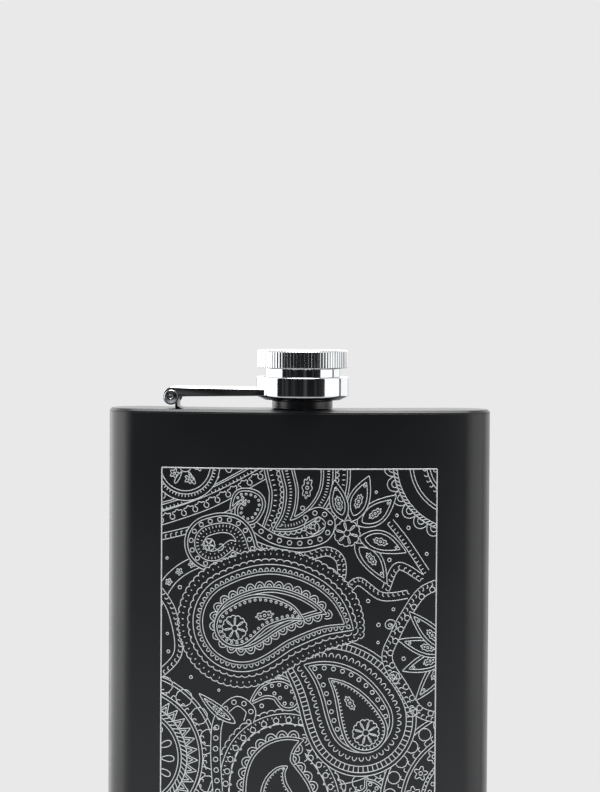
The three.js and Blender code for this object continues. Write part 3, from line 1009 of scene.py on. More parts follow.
def inside(points: np.ndarray, outline: np.ndarray) -> np.ndarray:
    """Tells which points lie inside a closed outline, by counting crossings."""
    x, y = points[:, :1], points[:, 1:]
    x0, y0 = outline[:, 0], outline[:, 1]
    x1, y1 = np.roll(x0, -1), np.roll(y0, -1)
    spans = (y0 > y) != (y1 > y)
    reach = x0 + (y - y0) * (x1 - x0) / np.where(y1 == y0, 1e-12, y1 - y0)
    return (spans & (x < reach)).sum(axis=1) % 2 == 1


class Figure(Enum):
    """The small figures that the borders repeat."""

    SCALLOP = auto()
    CUP = auto()
    DOUBLE_ARCH = auto()
    TICK = auto()
    HOOK = auto()
    ROPE = auto()
    TRIANGLE = auto()
    PETAL = auto()
    DOT = auto()
    RING = auto()
    BLOSSOM = auto()
    CROWN = auto()


def unit_figures() -> dict[Figure, list[np.ndarray]]:
    """Draws the figures that stretch with their room, in a room of 1 by 1. X runs along the border and Y away."""
    arch, turn = polar(1, np.linspace(math.pi, 0, 10)), np.linspace(0, FULL_TURN, 18)
    side = [(-0.5, 0), (-0.34, 0.12), (-0.3, 0.42), (-0.42, 0.62), (-0.36, 0.82), (-0.2, 0.78), (-0.1, 0.9)]
    tent = np.array([(-0.5, 0), (0, 1), (0.5, 0)])
    return {
        Figure.SCALLOP: [arch * (0.5, 1)],
        Figure.CUP: [arch * (0.33, 1)],
        Figure.DOUBLE_ARCH: [arch * (0.5, 1), arch * (0.24, 0.5)],
        Figure.TICK: [np.array([(0, 0), (0, 1)])],
        Figure.HOOK: [np.array([(0, 0), (0, 0.8), (0.12, 1), (0.38, 1)])],
        Figure.ROPE: [np.array([(-0.4, 0), (0.4, 1)])],
        Figure.TRIANGLE: [tent, tent * 0.5 + (0, 0.05)],
        Figure.PETAL: [np.column_stack([0.36 * np.sin(turn) * np.sin(turn / 2), (1 - np.cos(turn)) / 2])],
        Figure.CROWN: [smooth_line([*side, (0, 1), *[(-x, y) for x, y in side[::-1]]], 3)],
    }


def figure_lines(kind: Figure, width: float, height: float) -> list[np.ndarray]:
    """Draws one border figure.

    Args:
        kind: which figure.
        width: its room along the border.
        height: how far it stands out.

    Returns:
        Its lines. A closed one ends where it starts.
    """
    ring = np.vstack([circle((0, 0), 1, 10), [(1, 0)]])
    if kind is Figure.BLOSSOM:
        turn = np.linspace(0, FULL_TURN, 41)
        bloom = (0.8 + 0.25 * np.cos(5 * turn))[:, None] * np.column_stack([np.sin(turn), np.cos(turn)])
        size = min(width, height) * 0.48
        return [bloom * size + (0, height / 2), ring * size * 0.28 + (0, height / 2)]
    if kind in (Figure.DOT, Figure.RING):
        return [ring * width * (0.22 if kind is Figure.DOT else 0.36) + (0, height)]
    return [line * (width, height) for line in unit_figures()[kind]]


@dataclass(frozen=True)
class Border:
    """A row of one figure, a set distance inside an outline. A negative height points inwards."""

    kind: Figure
    inset: float
    width: float
    height: float
    line: bool = False


class Drawing:
    """Flat line work in panel millimetres, drawn from the front figure back, so that later work passes behind."""

    def __init__(self, half_width: float, depth: float) -> None:
        """Starts an empty panel.

        Args:
            half_width: half of the panel's width.
            depth: the panel's height, down from 0.
        """
        self.frame = np.array([(-half_width, 0), (-half_width, -depth), (half_width, -depth), (half_width, 0)])
        self.masks: list[np.ndarray] = []
        self.groups: dict[str, list[np.ndarray]] = {}
        self.group = "frame"
        self.tree = border_tree()

    def line(self, points: np.ndarray, closed: bool = False, clip: bool = True) -> None:
        """Adds one line, cut where something in front or the panel's edge hides it.

        Args:
            points: the line.
            closed: whether it returns to its start.
            clip: whether it can be hidden.
        """
        path = np.vstack([points, points[:1]]) if closed else np.asarray(points, dtype=float)
        path = evenly(path, 0.22) if clip else path
        keep = np.ones(len(path), dtype=bool)
        if clip:
            keep &= inside(path, self.frame)
            for mask in self.masks:
                low, high = mask.min(axis=0), mask.max(axis=0)
                near = keep & (path >= low).all(axis=1) & (path <= high).all(axis=1)
                if near.any():
                    keep[near] &= ~inside(path[near], mask)
        runs = np.flatnonzero(np.diff(np.concatenate([[0], keep.astype(int), [0]])))
        for first, last in zip(runs[::2], runs[1::2]):
            if last - first >= 3 or (not clip and last - first >= 2):
                self.groups.setdefault(self.group, []).append(path[first:last])

    def border(self, guide: np.ndarray, kind: Figure, width: float, height: float, closed: bool = False) -> None:
        """Sets a row of figures along a guide line, by the geometry tree.

        Args:
            guide: the line that they stand on, with their tops to its left.
            kind: which figure.
            width: the room that each takes.
            height: how far they stand out.
            closed: whether the guide returns to its start.
        """
        length = np.hypot(*np.diff(np.vstack([guide, guide[:1]]) if closed else guide, axis=0).T).sum()
        count = max(2, round(length / width) + (0 if closed else 1))
        lines = figure_lines(kind, length / max(1, count - (0 if closed else 1)), height)
        links, start = [], 0
        for one in lines:
            links += [(start + i, start + i + 1) for i in range(len(one) - 1)]
            start += len(one)
        unit = make_object("figure", [(x, y, 0) for one in lines for x, y in one], [], None, links)
        ends = [(len(guide) - 1, 0)] if closed else []
        path = make_object("guide", [(x, y, 0) for x, y in guide], [], None,
                           [(i, i + 1) for i in range(len(guide) - 1)] + ends)
        mesh = run_tree(path, self.tree, Shape=unit, Count=count)
        flat = np.empty(len(mesh.vertices) * 3)
        mesh.vertices.foreach_get("co", flat)
        middles: list[np.ndarray] = []
        for copy in flat.reshape(-1, start, 3)[:, :, :2]:
            middle, first = copy.mean(axis=0), 0
            if any(np.hypot(*(middle - other)) < width * 0.62 for other in middles):
                continue
            middles.append(middle)
            for one in lines:
                self.line(copy[first:first + len(one)])
                first += len(one)
        bpy.data.meshes.remove(mesh)
        for item in (unit, path):
            bpy.data.objects.remove(item)

    def cover(self, outline: np.ndarray) -> None:
        """Hides later work behind a closed outline."""
        self.masks.append(np.asarray(outline))

    def dress(self, outline: Callable[[float], np.ndarray], lines: Iterable[float],
              borders: Iterable[Border] = ()) -> None:
        """Draws a shape's nested outlines and borders, then covers what lies behind it.

        Args:
            outline: gives the closed outline at an inset.
            lines: insets of plain outlines.
            borders: rows of figures.
        """
        for inset in lines:
            shape = outline(inset)
            if len(shape) > 8:
                self.line(shape, closed=True)
        for row in borders:
            shape = outline(row.inset)
            if len(shape) <= 8:
                continue
            if row.line:
                self.line(shape, closed=True)
            self.border(evenly(shape, 0.3, closed=True), row.kind, row.width, row.height, closed=True)
        self.cover(outline(0.0))


@dataclass(frozen=True)
class Teardrop:
    """A paisley: a round bulb on a bent spine that narrows to a tip. It runs clockwise, so figures stand out."""

    spine: tuple[Point, ...]
    radius: float
    taper: float = 1.7

    def outline(self, inset: float) -> np.ndarray:
        """Draws the closed outline at a true distance inside the outer one.

        Args:
            inset: the distance, negative for outside.

        Returns:
            The outline's points, from the tip round the bulb and back.
        """
        line = evenly(smooth_line(list(self.spine)), 0.25)
        t = np.linspace(0, 1, len(line))
        radius = self.radius * (1 - t ** self.taper) - inset * (1 - 0.5 * t ** 4)
        keep = radius > 0.02
        if keep.sum() < 4:
            return np.zeros((0, 2))
        line, radius = line[keep], radius[keep]
        tangent, normal = frame_of(line)
        slope = np.clip(np.gradient(radius) / 0.25, -0.95, 0.95)
        lean = np.sqrt(1 - slope ** 2)
        left = line + radius[:, None] * (-slope[:, None] * tangent + lean[:, None] * normal)
        right = line + radius[:, None] * (-slope[:, None] * tangent - lean[:, None] * normal)
        first, last = left[0] - line[0], right[0] - line[0]
        a0, a1 = math.atan2(first[1], first[0]), math.atan2(last[1], last[0])
        sweep = (a1 - a0) % FULL_TURN
        bulb = polar(radius[0], a0 + sweep * np.linspace(0, 1, 60)[1:-1], line[0])
        closed = np.vstack([left[::-1], bulb, right])[::-1]
        return evenly(closed, 0.25, closed=True)


@dataclass(frozen=True)
class Leaf:
    """A pointed leaf from its base to its tip, bowed to one side."""

    base: Point
    tip: Point
    width: float
    bow: float = 0.0

    def outline(self, inset: float) -> np.ndarray:
        """Draws the closed outline, drawn in from both ends by the inset."""
        base, tip = np.array(self.base), np.array(self.tip)
        axis = tip - base
        length = float(np.hypot(*axis))
        axis /= length
        side = np.array([-axis[1], axis[0]])
        pull = inset * 1.9
        t = np.linspace(0, 1, 30)
        along = pull + (length - 2.2 * pull) * t
        half = np.maximum(self.width / 2 - inset, 0.02) * np.sin(math.pi * t ** 0.8) ** 0.9
        bend = self.bow * np.sin(math.pi * along / length)
        if self.width / 2 - inset < 0.15 or length - 2.2 * pull < 0.6:
            return np.zeros((0, 2))
        left = base + along[:, None] * axis + (bend + half)[:, None] * side
        right = base + along[:, None] * axis + (bend - half)[:, None] * side
        return evenly(np.vstack([left, right[::-1][1:-1]]), 0.25, closed=True)


def flower(drawing: Drawing, centre: Point, radius: float, petals: int = 6) -> None:
    """Draws a small flower: a ring, a ring of petals and a scalloped edge.

    Args:
        drawing: the panel.
        centre: the flower's middle.
        radius: its outer radius.
        petals: how many petals it has.
    """
    core = circle(centre, radius * 0.25, 24)[::-1]
    drawing.line(core, closed=True)
    drawing.border(evenly(core, 0.1, closed=True), Figure.PETAL, FULL_TURN * radius * 0.25 / petals, radius * 0.62,
                   closed=True)
    rim = circle(centre, radius * 0.9, 64)[::-1]
    drawing.border(rim, Figure.SCALLOP, FULL_TURN * radius * 0.9 / (petals * 2), radius * 0.15, closed=True)


def floret(drawing: Drawing, centre: Point, facing: Point, size: float) -> None:
    """Draws a bud: a long lobed edge round three small rings.

    Args:
        drawing: the panel.
        centre: the floret's middle.
        facing: the direction of its long axis.
        size: its scale; it is five times as long.
    """
    axis = np.array(facing) / np.hypot(*facing)
    side = np.array([-axis[1], axis[0]])
    turn = np.linspace(0, FULL_TURN, 97)[:-1]
    lobes = 1 + 0.17 * np.cos(8 * turn)
    edge = (2.5 * size * lobes * np.cos(turn))[:, None] * axis + (1.15 * size * lobes * np.sin(turn))[:, None] * side
    drawing.line(centre + edge, closed=True)
    for reach, radius in ((-1.25, 0.26), (0.0, 0.42), (1.25, 0.26)):
        drawing.line(circle(centre + axis * size * reach, size * radius, 12), closed=True)


@dataclass
class Engraving:
    """The lasered paisley panel on the front: an original drawing in generic paisley figures."""

    plan: Plan
    steel: Material
    top: float
    bottom: float
    half_width: float = 34.25
    line_width: float = 0.2
    frame_width: float = 0.3
    proud: float = 0.02
    root: float = 0.06
    drawing: Drawing = field(init=False)

    def __post_init__(self) -> None:
        """Starts the drawing."""
        self.drawing = Drawing(self.half_width, self.top - self.bottom)

    def paisley(self, spine: tuple[Point, ...], radius: float, taper: float, lines: list[float],
                *borders: Border) -> None:
        """Draws a dressed teardrop.

        Args:
            spine: points along its middle, from the bulb to the tip.
            radius: the bulb's radius.
            taper: how late it narrows.
            lines: insets of plain outlines.
            borders: rows of figures.
        """
        self.drawing.dress(Teardrop(spine, radius, taper).outline, lines, borders)

    def rosette(self, name: str, centre: Point, rings: list[float], *borders: Border) -> None:
        """Draws a round medallion.

        Args:
            name: the group's name.
            centre: the middle.
            rings: radii of plain rings.
            borders: rows of figures, with their radius as inset.
        """
        d = self.drawing
        d.group = name
        for radius in rings:
            d.line(circle(centre, radius, 180)[::-1], closed=True)
        for row in borders:
            ring = circle(centre, row.inset, 240)[::-1]
            if row.line:
                d.line(ring, closed=True)
            d.border(ring, row.kind, row.width, row.height, closed=True)
        d.cover(circle(centre, max([*rings, *(row.inset for row in borders)]) + 0.05, 120))

    def leaf(self, base: Point, tip: Point, width: float, bow: float = 0.0) -> None:
        """Draws a leaf with a second outline and a floret inside."""
        shape = Leaf(base, tip, width, bow)
        start, way = np.array(base), np.array(tip) - base
        side = np.array([-way[1], way[0]]) / np.hypot(*way) * bow
        floret(self.drawing, start + way * 0.43 + side * 0.95, way, 0.66)
        self.drawing.line(circle(start + way * 0.77 + side * 0.7, 0.3, 10), closed=True)
        self.drawing.dress(shape.outline, [0.0, 0.75])

    def ribbon(self, knots: list[Point], width: float, *rows: Border) -> None:
        """Draws an open band: two edge lines with rows of figures between them.

        Args:
            knots: points on its middle line.
            width: its full width.
            rows: rows of figures; the inset counts from the right edge.
        """
        middle = evenly(smooth_line(knots), 0.3)
        left, right = beside(middle, width / 2), beside(middle, -width / 2)
        self.drawing.line(left)
        self.drawing.line(right)
        for row in rows:
            guide = evenly(beside(middle, row.inset - width / 2), 0.3)
            self.drawing.border(guide, row.kind, row.width, row.height)
        self.drawing.cover(np.vstack([left, right[::-1]]))

    def curl(self, centre: Point, radius: float, first: float, turns: float) -> None:
        """Draws a spiral tendril end with a ring at its heart."""
        self.drawing.line(spiral(centre, radius, radius * 0.3, first, turns))
        self.drawing.line(circle(centre, radius * 0.22, 12), closed=True)

    def upper_figures(self) -> None:
        """Draws the figures of the panel's upper half, front to back."""
        F, B = Figure, Border
        d = self.drawing
        d.group = "great_paisley_left"
        flower(d, (-15.8, -39.4), 3.0, 7)
        floret(d, (-8.4, -36.2), (5, 1), 0.8)
        self.paisley(((-15.5, -39), (-10, -35.5), (-3, -35.2), (1.5, -37.5)), 5.4, 1.7, [0.0, 0.7],
                     B(F.DOT, 1.35, 1.32, 0.0))
        self.paisley(((-14, -38), (-6, -34.5), (5, -35), (15.6, -41)), 15.6, 1.9, [3.4, 5.1, 5.8, 9.6, 10.3],
                     B(F.SCALLOP, 0.0, 1.72, 0.55), B(F.SCALLOP, 2.6, 1.84, 0.6),
                     B(F.CUP, 5.1, 1.44, 0.85, True), B(F.DOUBLE_ARCH, 9.0, 2.31, 1.5, True), B(F.TICK, 1.0, 1.5, 0.45))
        d.group = "small_paisley_left"
        flower(d, (-22.3, -18.9), 1.45, 5)
        d.line(spiral((-19.5, -19.2), 1.3, 0.4, 200, 0.8))
        self.paisley(((-21.5, -18.5), (-17, -17), (-12.5, -20.8), (-7.5, -20.6)), 6.9, 1.4, [0.0, 0.75, 2.5, 4.9],
                     B(F.DOT, 1.6, 2.4, 0.0), B(F.TICK, 2.9, 0.9, -0.6), B(F.TICK, 4.4, 1.0, 0.35))
        d.group = "curled_drop"
        self.paisley(((-12.6, -10.6), (-11.2, -8.2), (-14.6, -6.8), (-17.2, -10.6)), 3.3, 1.3, [0.0, 0.7],
                     B(F.DOT, 1.5, 1.2, 0.0))
        d.group = "scroll"
        self.curl((3.4, -14.2), 2.3, 120, 1.35)
        self.ribbon([(-11.5, -14), (-6, -17.3), (0, -18.3), (6, -16.8), (7.6, -13), (5, -10.6), (1.6, -12)], 2.4,
                    B(F.DOT, 1.2, 2.64, 0.0))
        self.ribbon([(-12, -18.6), (-6, -20.6), (1, -21.6), (7, -20.3), (10.2, -22.5), (10.2, -27), (7.2, -28)], 2.2,
                    B(F.TICK, 0.2, 1.06, 0.6), B(F.HOOK, 2.0, 1.38, -0.6))
        self.curl((7.8, -25.6), 1.6, 250, 1.3)
        d.group = "fan_flower"
        flower(d, (11.8, -15.8), 3.1, 6)
        d.cover(circle((11.8, -15.8), 3.3))
        for tip, width, bow in (((8.6, -2.6), 4.4, 0.3), ((17.2, -1.6), 5.2, 0.2), ((24.0, -6.4), 5.6, -0.4),
                                ((26.6, -20.6), 5.4, 0.6), ((21.8, -28.4), 5.0, 0.8)):
            centre = np.array((11.8, -15.8))
            way = np.array(tip) - centre
            base = centre + way / np.hypot(*way) * 3.2
            self.leaf(tuple(base), tip, width, bow)
        self.ribbon([(12.2, -29.6), (15, -27.8), (20.5, -31.4), (27, -31)], 2.0, B(F.HOOK, 1.8, 1.19, -0.7))
        self.ribbon([(21.5, -29.8), (24.5, -24), (30.5, -27)], 1.9, B(F.HOOK, 0.2, 1.25, 0.8))
        self.ribbon([(22.5, -13), (26.5, -18), (31.6, -25.5)], 1.8, B(F.TICK, 0.2, 1.12, 0.7))
        d.group = "hanging_paisley"
        floret(d, (1.9, -4.6), (0.8, 6), 0.95)
        d.line(circle((0.8, -9.6), 0.5, 12), closed=True)
        self.paisley(((1.5, 3), (2.2, -5), (-1.5, -12), (-9.5, -16.6)), 10.6, 2.1, [0.0, 0.7, 3.6, 4.3, 6.6, 7.2],
                     B(F.TICK, 1.2, 1.25, -0.7), B(F.SCALLOP, 3.6, 1.32, 0.85), B(F.TICK, 5.0, 0.75, -0.65))
        self.rosette("medallion_top_right", (40.5, 1.5), [8.2, 9.0, 12.4, 13.2, 16.4, 17.3],
                     B(F.ROPE, 16.5, 0.98, 0.8), B(F.HOOK, 9.1, 1.38, 0.8), B(F.PETAL, 4.0, 2.31, 3.4, True),
                     B(F.DOUBLE_ARCH, 17.4, 3.74, 2.2, True))
        d.cover(circle((40.5, 1.5), 19.8, 90))
        self.rosette("medallion_top_left", (-28.3, 0.5), [6.2, 7.0, 8.6],
                     B(F.TICK, 7.1, 0.78, 0.6), B(F.PETAL, 1.5, 1.68, 3.6, True), B(F.BLOSSOM, 2.2, 2.6, 2.4))
        d.group = "diagonal_bands"
        for start, end, width, row in (((-36, -10.5), (-8.5, 1.5), 1.3, B(F.TICK, 0.1, 1.0, 0.5)),
                                       ((-36, -6.8), (-13, 3), 4.6, B(F.CROWN, 0.9, 3.6, 2.7)),
                                       ((-36, -13.2), (-8.5, -0.8), 3.2, B(F.CROWN, 0.5, 3.0, 2.1)),
                                       ((-36, -17.6), (-12, -8.4), 1.6, B(F.HOOK, 0.2, 1.38, 0.8))):
            bow = ((start[0] + end[0]) / 2, (start[1] + end[1]) / 2 - 1.3)
            self.ribbon([start, bow, end], width, row)

    def middle_figures(self) -> None:
        """Draws the figures of the panel's middle, front to back."""
        F, B = Figure, Border
        d = self.drawing
        d.group = "edge_leaves"
        self.curl((22.6, -38.6), 1.8, 300, 1.3)
        self.curl((23.6, -51.4), 1.8, 250, 1.35)
        self.curl((28.4, -60.0), 1.5, 200, 1.3)
        for tip in ((27.4, -35.2), (24.6, -42.2), (25.8, -50), (29.2, -57.4)):
            self.leaf((38, -45.5), tip, 4.6, 0.2)
        self.ribbon([(36, -28.2), (30.6, -30.6), (26.4, -36.4), (24, -41), (22, -47), (26, -54), (30, -60), (36, -62)],
                    2.6, B(F.HOOK, 0.3, 1.31, 0.8), B(F.DOT, 2.0, 3.12, 0.0))
        d.group = "great_paisley_right"
        flower(d, (16.8, -65.2), 3.2, 8)
        floret(d, (12.8, -57.8), (-3, 4.6), 0.7)
        self.paisley(((16.6, -64.6), (13.6, -58.6), (10.8, -54.6), (7.4, -51.6)), 5.6, 1.5, [0.0, 0.7],
                     B(F.TICK, 1.3, 0.88, 0.5))
        self.paisley(((15.6, -62.2), (11.5, -55), (5.5, -50), (-4.2, -46.6)), 13.8, 1.75, [0.0, 0.9, 2.5, 5.9, 6.7],
                     B(F.TICK, 2.5, 1.12, 1.5), B(F.CUP, 4.7, 1.67, 0.95), B(F.DOT, 7.6, 2.28, 0.0))
        d.group = "bud"
        self.leaf((-15.5, -63), (-24.6, -55.8), 2.8, 0.3)
        d.line(circle((-20.6, -64.4), 0.35, 10), closed=True)
        self.ribbon([(-19.8, -80), (-20.4, -70), (-19.6, -62), (-15.4, -57.6), (-11.8, -59.6), (-12.2, -62.6)], 2.4,
                    B(F.DOT, 1.2, 2.64, 0.0))
        d.group = "crescent"
        self.paisley(((-2.4, -56.5), (-4.6, -54.6), (-8.4, -55), (-12.4, -58.6)), 3.2, 1.4,
                     [0.0, 0.7], B(F.DOT, 1.5, 1.8, 0.0))
        d.group = "crescent_back"
        self.paisley(((1.6, -57.4), (0.4, -52.6), (-3.6, -50.2), (-9.5, -51.4)), 3.0, 1.5,
                     [0.0, 0.7], B(F.TICK, 1.2, 1.0, -0.5))

    def lower_figures(self) -> None:
        """Draws the figures of the panel's lower part, front to back."""
        F, B = Figure, Border
        d = self.drawing
        d.group = "great_paisley_low"
        flower(d, (-4.5, -84.4), 2.6, 7)
        self.paisley(((-4.5, -84), (-5.6, -79), (-4.6, -75.2), (-2.4, -73.4)), 4.6, 1.4, [0.0, 0.7],
                     B(F.TICK, 1.2, 0.88, 0.5))
        self.paisley(((-4.5, -82.5), (-6.5, -74), (-2.5, -68.4), (5.5, -66.4), (8.6, -69.5)), 15.4, 1.35,
                     [0.6, 3.2, 6.6, 7.3],
                     B(F.SCALLOP, 0.0, 1.95, 0.6), B(F.TICK, 1.1, 1.12, -0.5),
                     B(F.SCALLOP, 3.8, 2.99, 0.8), B(F.DOUBLE_ARCH, 6.6, 2.75, 1.6), B(F.DOT, 2.2, 3.12, 0.0))
        self.rosette("medallion_low_left", (-41, -72), [11.2, 12.0, 13.4, 16.6, 17.4, 20.4, 21.2],
                     B(F.ROPE, 12.1, 1.09, 1.2), B(F.TRIANGLE, 13.5, 2.3, 2.7, True), B(F.HOOK, 17.5, 1.5, 0.9),
                     B(F.RING, 19.6, 6.0, 0.0), B(F.PETAL, 6.6, 2.73, 3.6, True), B(F.SCALLOP, 4.6, 2.18, 1.1, True))
        self.rosette("medallion_low_right", (44.5, -83.5), [10.4, 13.2, 14.0, 18.2, 19.0, 23.4, 24.2],
                     B(F.BLOSSOM, 14.2, 4.6, 3.6), B(F.TICK, 13.2, 1.0, 0.65),
                     B(F.HOOK, 19.2, 2.0, 1.0), B(F.RING, 21.8, 4.4, 0.0), B(F.DOT, 12.0, 2.04, 0.0),
                     B(F.PETAL, 6.4, 2.52, 3.0, True))
        d.group = "low_drop"
        self.paisley(((13.4, -86.4), (17.6, -83.6), (18.8, -79.8), (16.6, -76.6)), 6.0, 1.5,
                     [0.0, 0.7, 3.0], B(F.DOT, 1.6, 1.92, 0.0), B(F.CUP, 3.0, 1.26, 0.7))
        self.rosette("medallion_bottom", (-26.5, -97.5), [7.2, 8.0, 11.4, 12.2],
                     B(F.DOUBLE_ARCH, 8.1, 2.75, 1.9), B(F.TICK, 7.2, 1.0, -0.6), B(F.PETAL, 2.2, 2.1, 3.4, True))
        self.ribbon([(10, -79.4), (17, -77.6), (24, -72.6), (27.4, -65)], 2.6,
                    B(F.HOOK, 0.3, 1.44, 0.8), B(F.RING, 2.0, 6.6, 0.0))
        self.ribbon([(-36, -52.4), (-30, -46), (-31.4, -36), (-34.8, -30.5)], 2.0, B(F.HOOK, 0.2, 1.38, 0.8))
        self.ribbon([(-36, -34.5), (-31.6, -27.4), (-25, -23.2), (-16, -21.8)], 3.0, B(F.BLOSSOM, 0.6, 3.6, 1.8))

    def sprinkle(self) -> None:
        """Fills the bare ground with small rings, each clear of the lines round it."""
        rng = np.random.default_rng(11)
        lines = np.vstack([line for group in self.drawing.groups.values() for line in group])
        spots: list[np.ndarray] = []
        depth = self.top - self.bottom
        self.drawing.group = "sprinkle"
        for spot in np.column_stack([rng.uniform(-33, 33, 2600), rng.uniform(-depth + 1.2, -1.2, 2600)]):
            near = np.hypot(*(lines - spot).T).min()
            apart = min((float(np.hypot(*(other - spot))) for other in spots), default=9.0)
            if near > 1.35 and apart > 4.2 and not any(inside(spot[None], mask)[0] for mask in self.drawing.masks):
                spots.append(spot)
                self.drawing.line(circle(spot, rng.uniform(0.3, 0.5), 12), closed=True)

    def frame_lines(self) -> None:
        """Draws the plain rectangle round the panel."""
        self.drawing.group = "frame"
        for i in range(4):
            side = np.vstack([self.drawing.frame[i], self.drawing.frame[(i + 1) % 4]])
            self.drawing.line(evenly(side, 0.4), clip=False)

    def lay(self) -> None:
        """Gives every group its width, lays it on the curved front and hands it over."""
        tree = engraved_line_tree()
        for name, lines in self.drawing.groups.items():
            vertices, links = [], []
            for line in lines:
                start = len(vertices)
                vertices += [(x * MM, (self.top + y) * MM, (self.proud - self.root) / 2 * MM) for x, y in line]
                links += [(start + i, start + i + 1) for i in range(len(line) - 1)]
            piece = make_object("engraved_" + name, vertices, [], None, links)
            width = self.frame_width if name == "frame" else self.line_width
            piece.data = run_tree(piece, tree, Width=width * MM, Depth=(self.proud + self.root) * MM,
                                  Radius=self.plan.front_radius * MM, Centre=self.plan.centre_y * MM,
                                  Material=self.steel)
            hand_over(piece, "flask", "engraved_steel")

    def build(self) -> None:
        """Draws the panel and lays it on the front."""
        self.frame_lines()
        self.upper_figures()
        self.middle_figures()
        self.lower_figures()
        self.sprinkle()
        self.lay()


# ---------------------------------------------------------------- the studio
@dataclass(frozen=True)
class Screen:
    """A curved screen round the flask, unseen by the camera.

    It stands between two angles, in degrees from the camera's side towards +X, and two heights, in metres.
    """

    name: str
    first: float
    last: float
    brightness: float
    low: float = -0.2
    high: float = 1.1
    radius: float = 1.25

    def stand(self, material: Material) -> None:
        """Builds the screen with what it shows."""
        angles = [math.radians(a) for a in np.linspace(self.first, self.last, 24)]
        vertices = [(self.radius * math.sin(a), -self.radius * math.cos(a), z)
                    for a in angles for z in (self.low, self.high)]
        card = make_object(self.name, vertices, ladder(len(angles), 2, False, False), material)
        card.visible_camera = card.visible_shadow = False


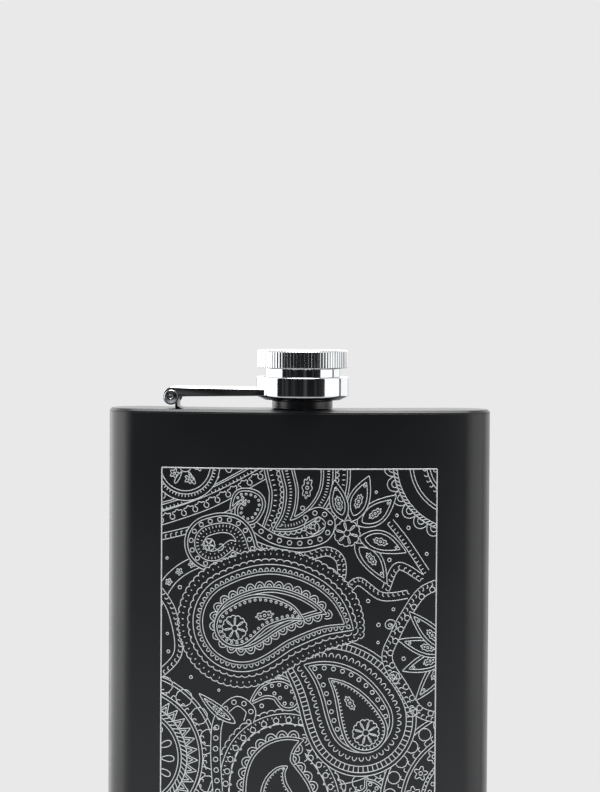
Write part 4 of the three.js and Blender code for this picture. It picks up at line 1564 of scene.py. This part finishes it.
@dataclass
class Studio:
    """A white room with a dark side towards the camera, which gives the steel its dark middles."""

    ground: str = "e9e9e9"
    target: Vector = field(default_factory=lambda: Vector((0.0, 0.0, 0.1272)))
    distance: float = 0.8
    pitch: float = 2.25
    roll: float = 0.35
    lens: float = 146.2
    lamp_watts: float = 22.0
    floor_radius: float = 0.16
    screens: tuple[Screen, ...] = (
        Screen("left_panel", -150, -64, 2.55), Screen("right_panel", 54, 103, 1.5),
        Screen("gap", 104, 110, 0.04, radius=1.2), Screen("right_back_panel", 111, 150, 1.3),
        Screen("high_back_panel", 151, 209, 1.35, low=0.15))

    def camera(self) -> None:
        """Sets the camera a little above the flask, looking slightly down."""
        data = bpy.data.cameras.new("camera")
        data.lens, data.sensor_width, data.clip_start = self.lens, 36.0, 0.01
        eye = bpy.data.objects.new("camera", data)
        tilt = math.radians(self.pitch)
        eye.location = self.target + self.distance * Vector((0, -math.cos(tilt), math.sin(tilt)))
        look = (self.target - eye.location).to_track_quat("-Z", "Y")
        eye.rotation_euler = (look.to_matrix() @ Matrix.Rotation(math.radians(self.roll), 3, "Z")).to_euler()
        bpy.context.scene.collection.objects.link(eye)
        bpy.context.scene.camera = eye

    def glow(self, name: str, strength: float, hex_colour: str = "ffffff") -> tuple[Material, Node]:
        """Makes an evenly glowing stage material, and gives its shader too."""
        material, light = new_material(name, "ShaderNodeEmission")
        plug(light, {"Color": linear(hex_colour), "Strength": strength})
        return material, light

    def cloth(self) -> Material:
        """Makes the dark side: near black with faint upright folds, paler towards the table."""
        material, light = self.glow("dark_cloth", 1.0, "f3f5f9")
        tree = material.node_tree
        place = add_node(tree, "ShaderNodeTexCoord")
        parts = add_node(tree, "ShaderNodeSeparateXYZ", {"Vector": (place, "Object")})
        lift = add_node(tree, "ShaderNodeMapRange", {
            "Value": (parts, "Z"), "From Min": -0.02, "From Max": 0.13, "To Min": 0.8, "To Max": 0.0},
            interpolation_type="SMOOTHSTEP")
        squeeze = add_node(tree, "ShaderNodeMapping", {"Vector": (place, "Object"), "Scale": (12.0, 12.0, 0.6)})
        folds = add_node(tree, "ShaderNodeTexNoise",
                         {"Vector": (squeeze, "Vector"), "Scale": 6.0, "Detail": 3.0, "Roughness": 0.6})
        weave = add_node(tree, "ShaderNodeMapRange", {
            "Value": (folds, "Fac"), "From Min": 0.45, "From Max": 0.72, "To Min": 0.012, "To Max": 0.11})
        total = add_node(tree, "ShaderNodeMath", {0: (lift, "Result"), 1: (weave, "Result")}, operation="ADD")
        plug(light, {"Strength": (total, 0)})
        return material

    def floor(self) -> None:
        """Lays a pale floor that fades into the background a little way from the flask."""
        material, shader = new_material("studio_paper")
        tree = material.node_tree
        place = add_node(tree, "ShaderNodeTexCoord")
        away = add_node(tree, "ShaderNodeVectorMath", {0: (place, "Object")}, operation="LENGTH")
        fade = add_node(tree, "ShaderNodeMapRange", {
            "Value": (away, "Value"), "From Min": 0.07, "From Max": 0.155, "To Min": 1.0, "To Max": 0.0},
            interpolation_type="SMOOTHSTEP")
        grain = add_node(tree, "ShaderNodeTexNoise", {"Vector": (place, "Object"), "Scale": 900.0})
        bump = add_node(tree, "ShaderNodeBump", {"Height": (grain, "Fac"), "Strength": 0.1, "Distance": 0.0001})
        plug(shader, {"Alpha": (fade, "Result"), "Normal": (bump, "Normal"), "Base Color": linear("acacac"),
                      "Roughness": 0.9})
        ring = [(x, y, -0.0002) for x, y in circle((0, 0), self.floor_radius, 96)]
        make_object("floor", ring, [tuple(range(96))], material)

    def build(self) -> None:
        """Builds the camera, the world, the screens, the overhead light and the floor."""
        scene = bpy.context.scene
        scene.view_settings.view_transform = "Standard"
        scene.world = bpy.data.worlds.new("white_room")
        scene.world.use_nodes = True
        sky = next(node for node in scene.world.node_tree.nodes if node.type == "BACKGROUND")
        plug(sky, {"Color": linear(self.ground), "Strength": 1.0})
        self.camera()
        Screen("dark_side", -62, 54, 1.0, -0.03, 0.215, 0.105).stand(self.cloth())
        for screen in self.screens:
            screen.stand(self.glow(screen.name + "_softbox", screen.brightness)[0])
        lamp = bpy.data.lights.new("overhead", "AREA")
        lamp.shape = "RECTANGLE"
        lamp.size, lamp.size_y, lamp.energy = 1.0, 0.95, self.lamp_watts
        over = bpy.data.objects.new("overhead", lamp)
        over.location = (0.0, -0.38, 1.3)
        scene.collection.objects.link(over)
        self.floor()


# ---------------------------------------------------------------- assembly
def main() -> None:
    """Builds the flask and its studio, in order, and reports each piece."""
    logging.basicConfig(level=logging.INFO, format="%(message)s")
    plan = Plan.from_frame()
    coat = PowderCoat().material()
    steel = PolishedSteel().material()
    arm_steel = PolishedSteel("polished_strip_steel", "d9dbdc", "c2c5c7", (0.1, 0.15)).material()
    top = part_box("top_plate")[1][2]
    low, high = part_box("collar")
    axis = Vector(((low[0] + high[0]) / 2, (low[1] + high[1]) / 2, top))
    FlaskBody(plan, coat).build((axis.x / MM, axis.y / MM))
    SpoutAndCap(axis, coat, steel, SiliconeRubber().material()).build()
    swing = next(joint for joint in frame["joints"] if joint["name"] == "arm_swing")
    pin_line = -Vector(swing["axis"])
    turn = math.atan2(-pin_line.x, pin_line.y)
    place = Matrix.Translation(Vector(swing["pos_m"])) @ Matrix.Rotation(turn, 4, "Z")
    Hinge(place, coat, arm_steel).build()
    Engraving(plan, LaserBaredSteel().material(), top / MM - PANEL_MARGIN_MM, PANEL_MARGIN_MM).build()
    Studio().build()


if __name__ == "__main__":
    main()
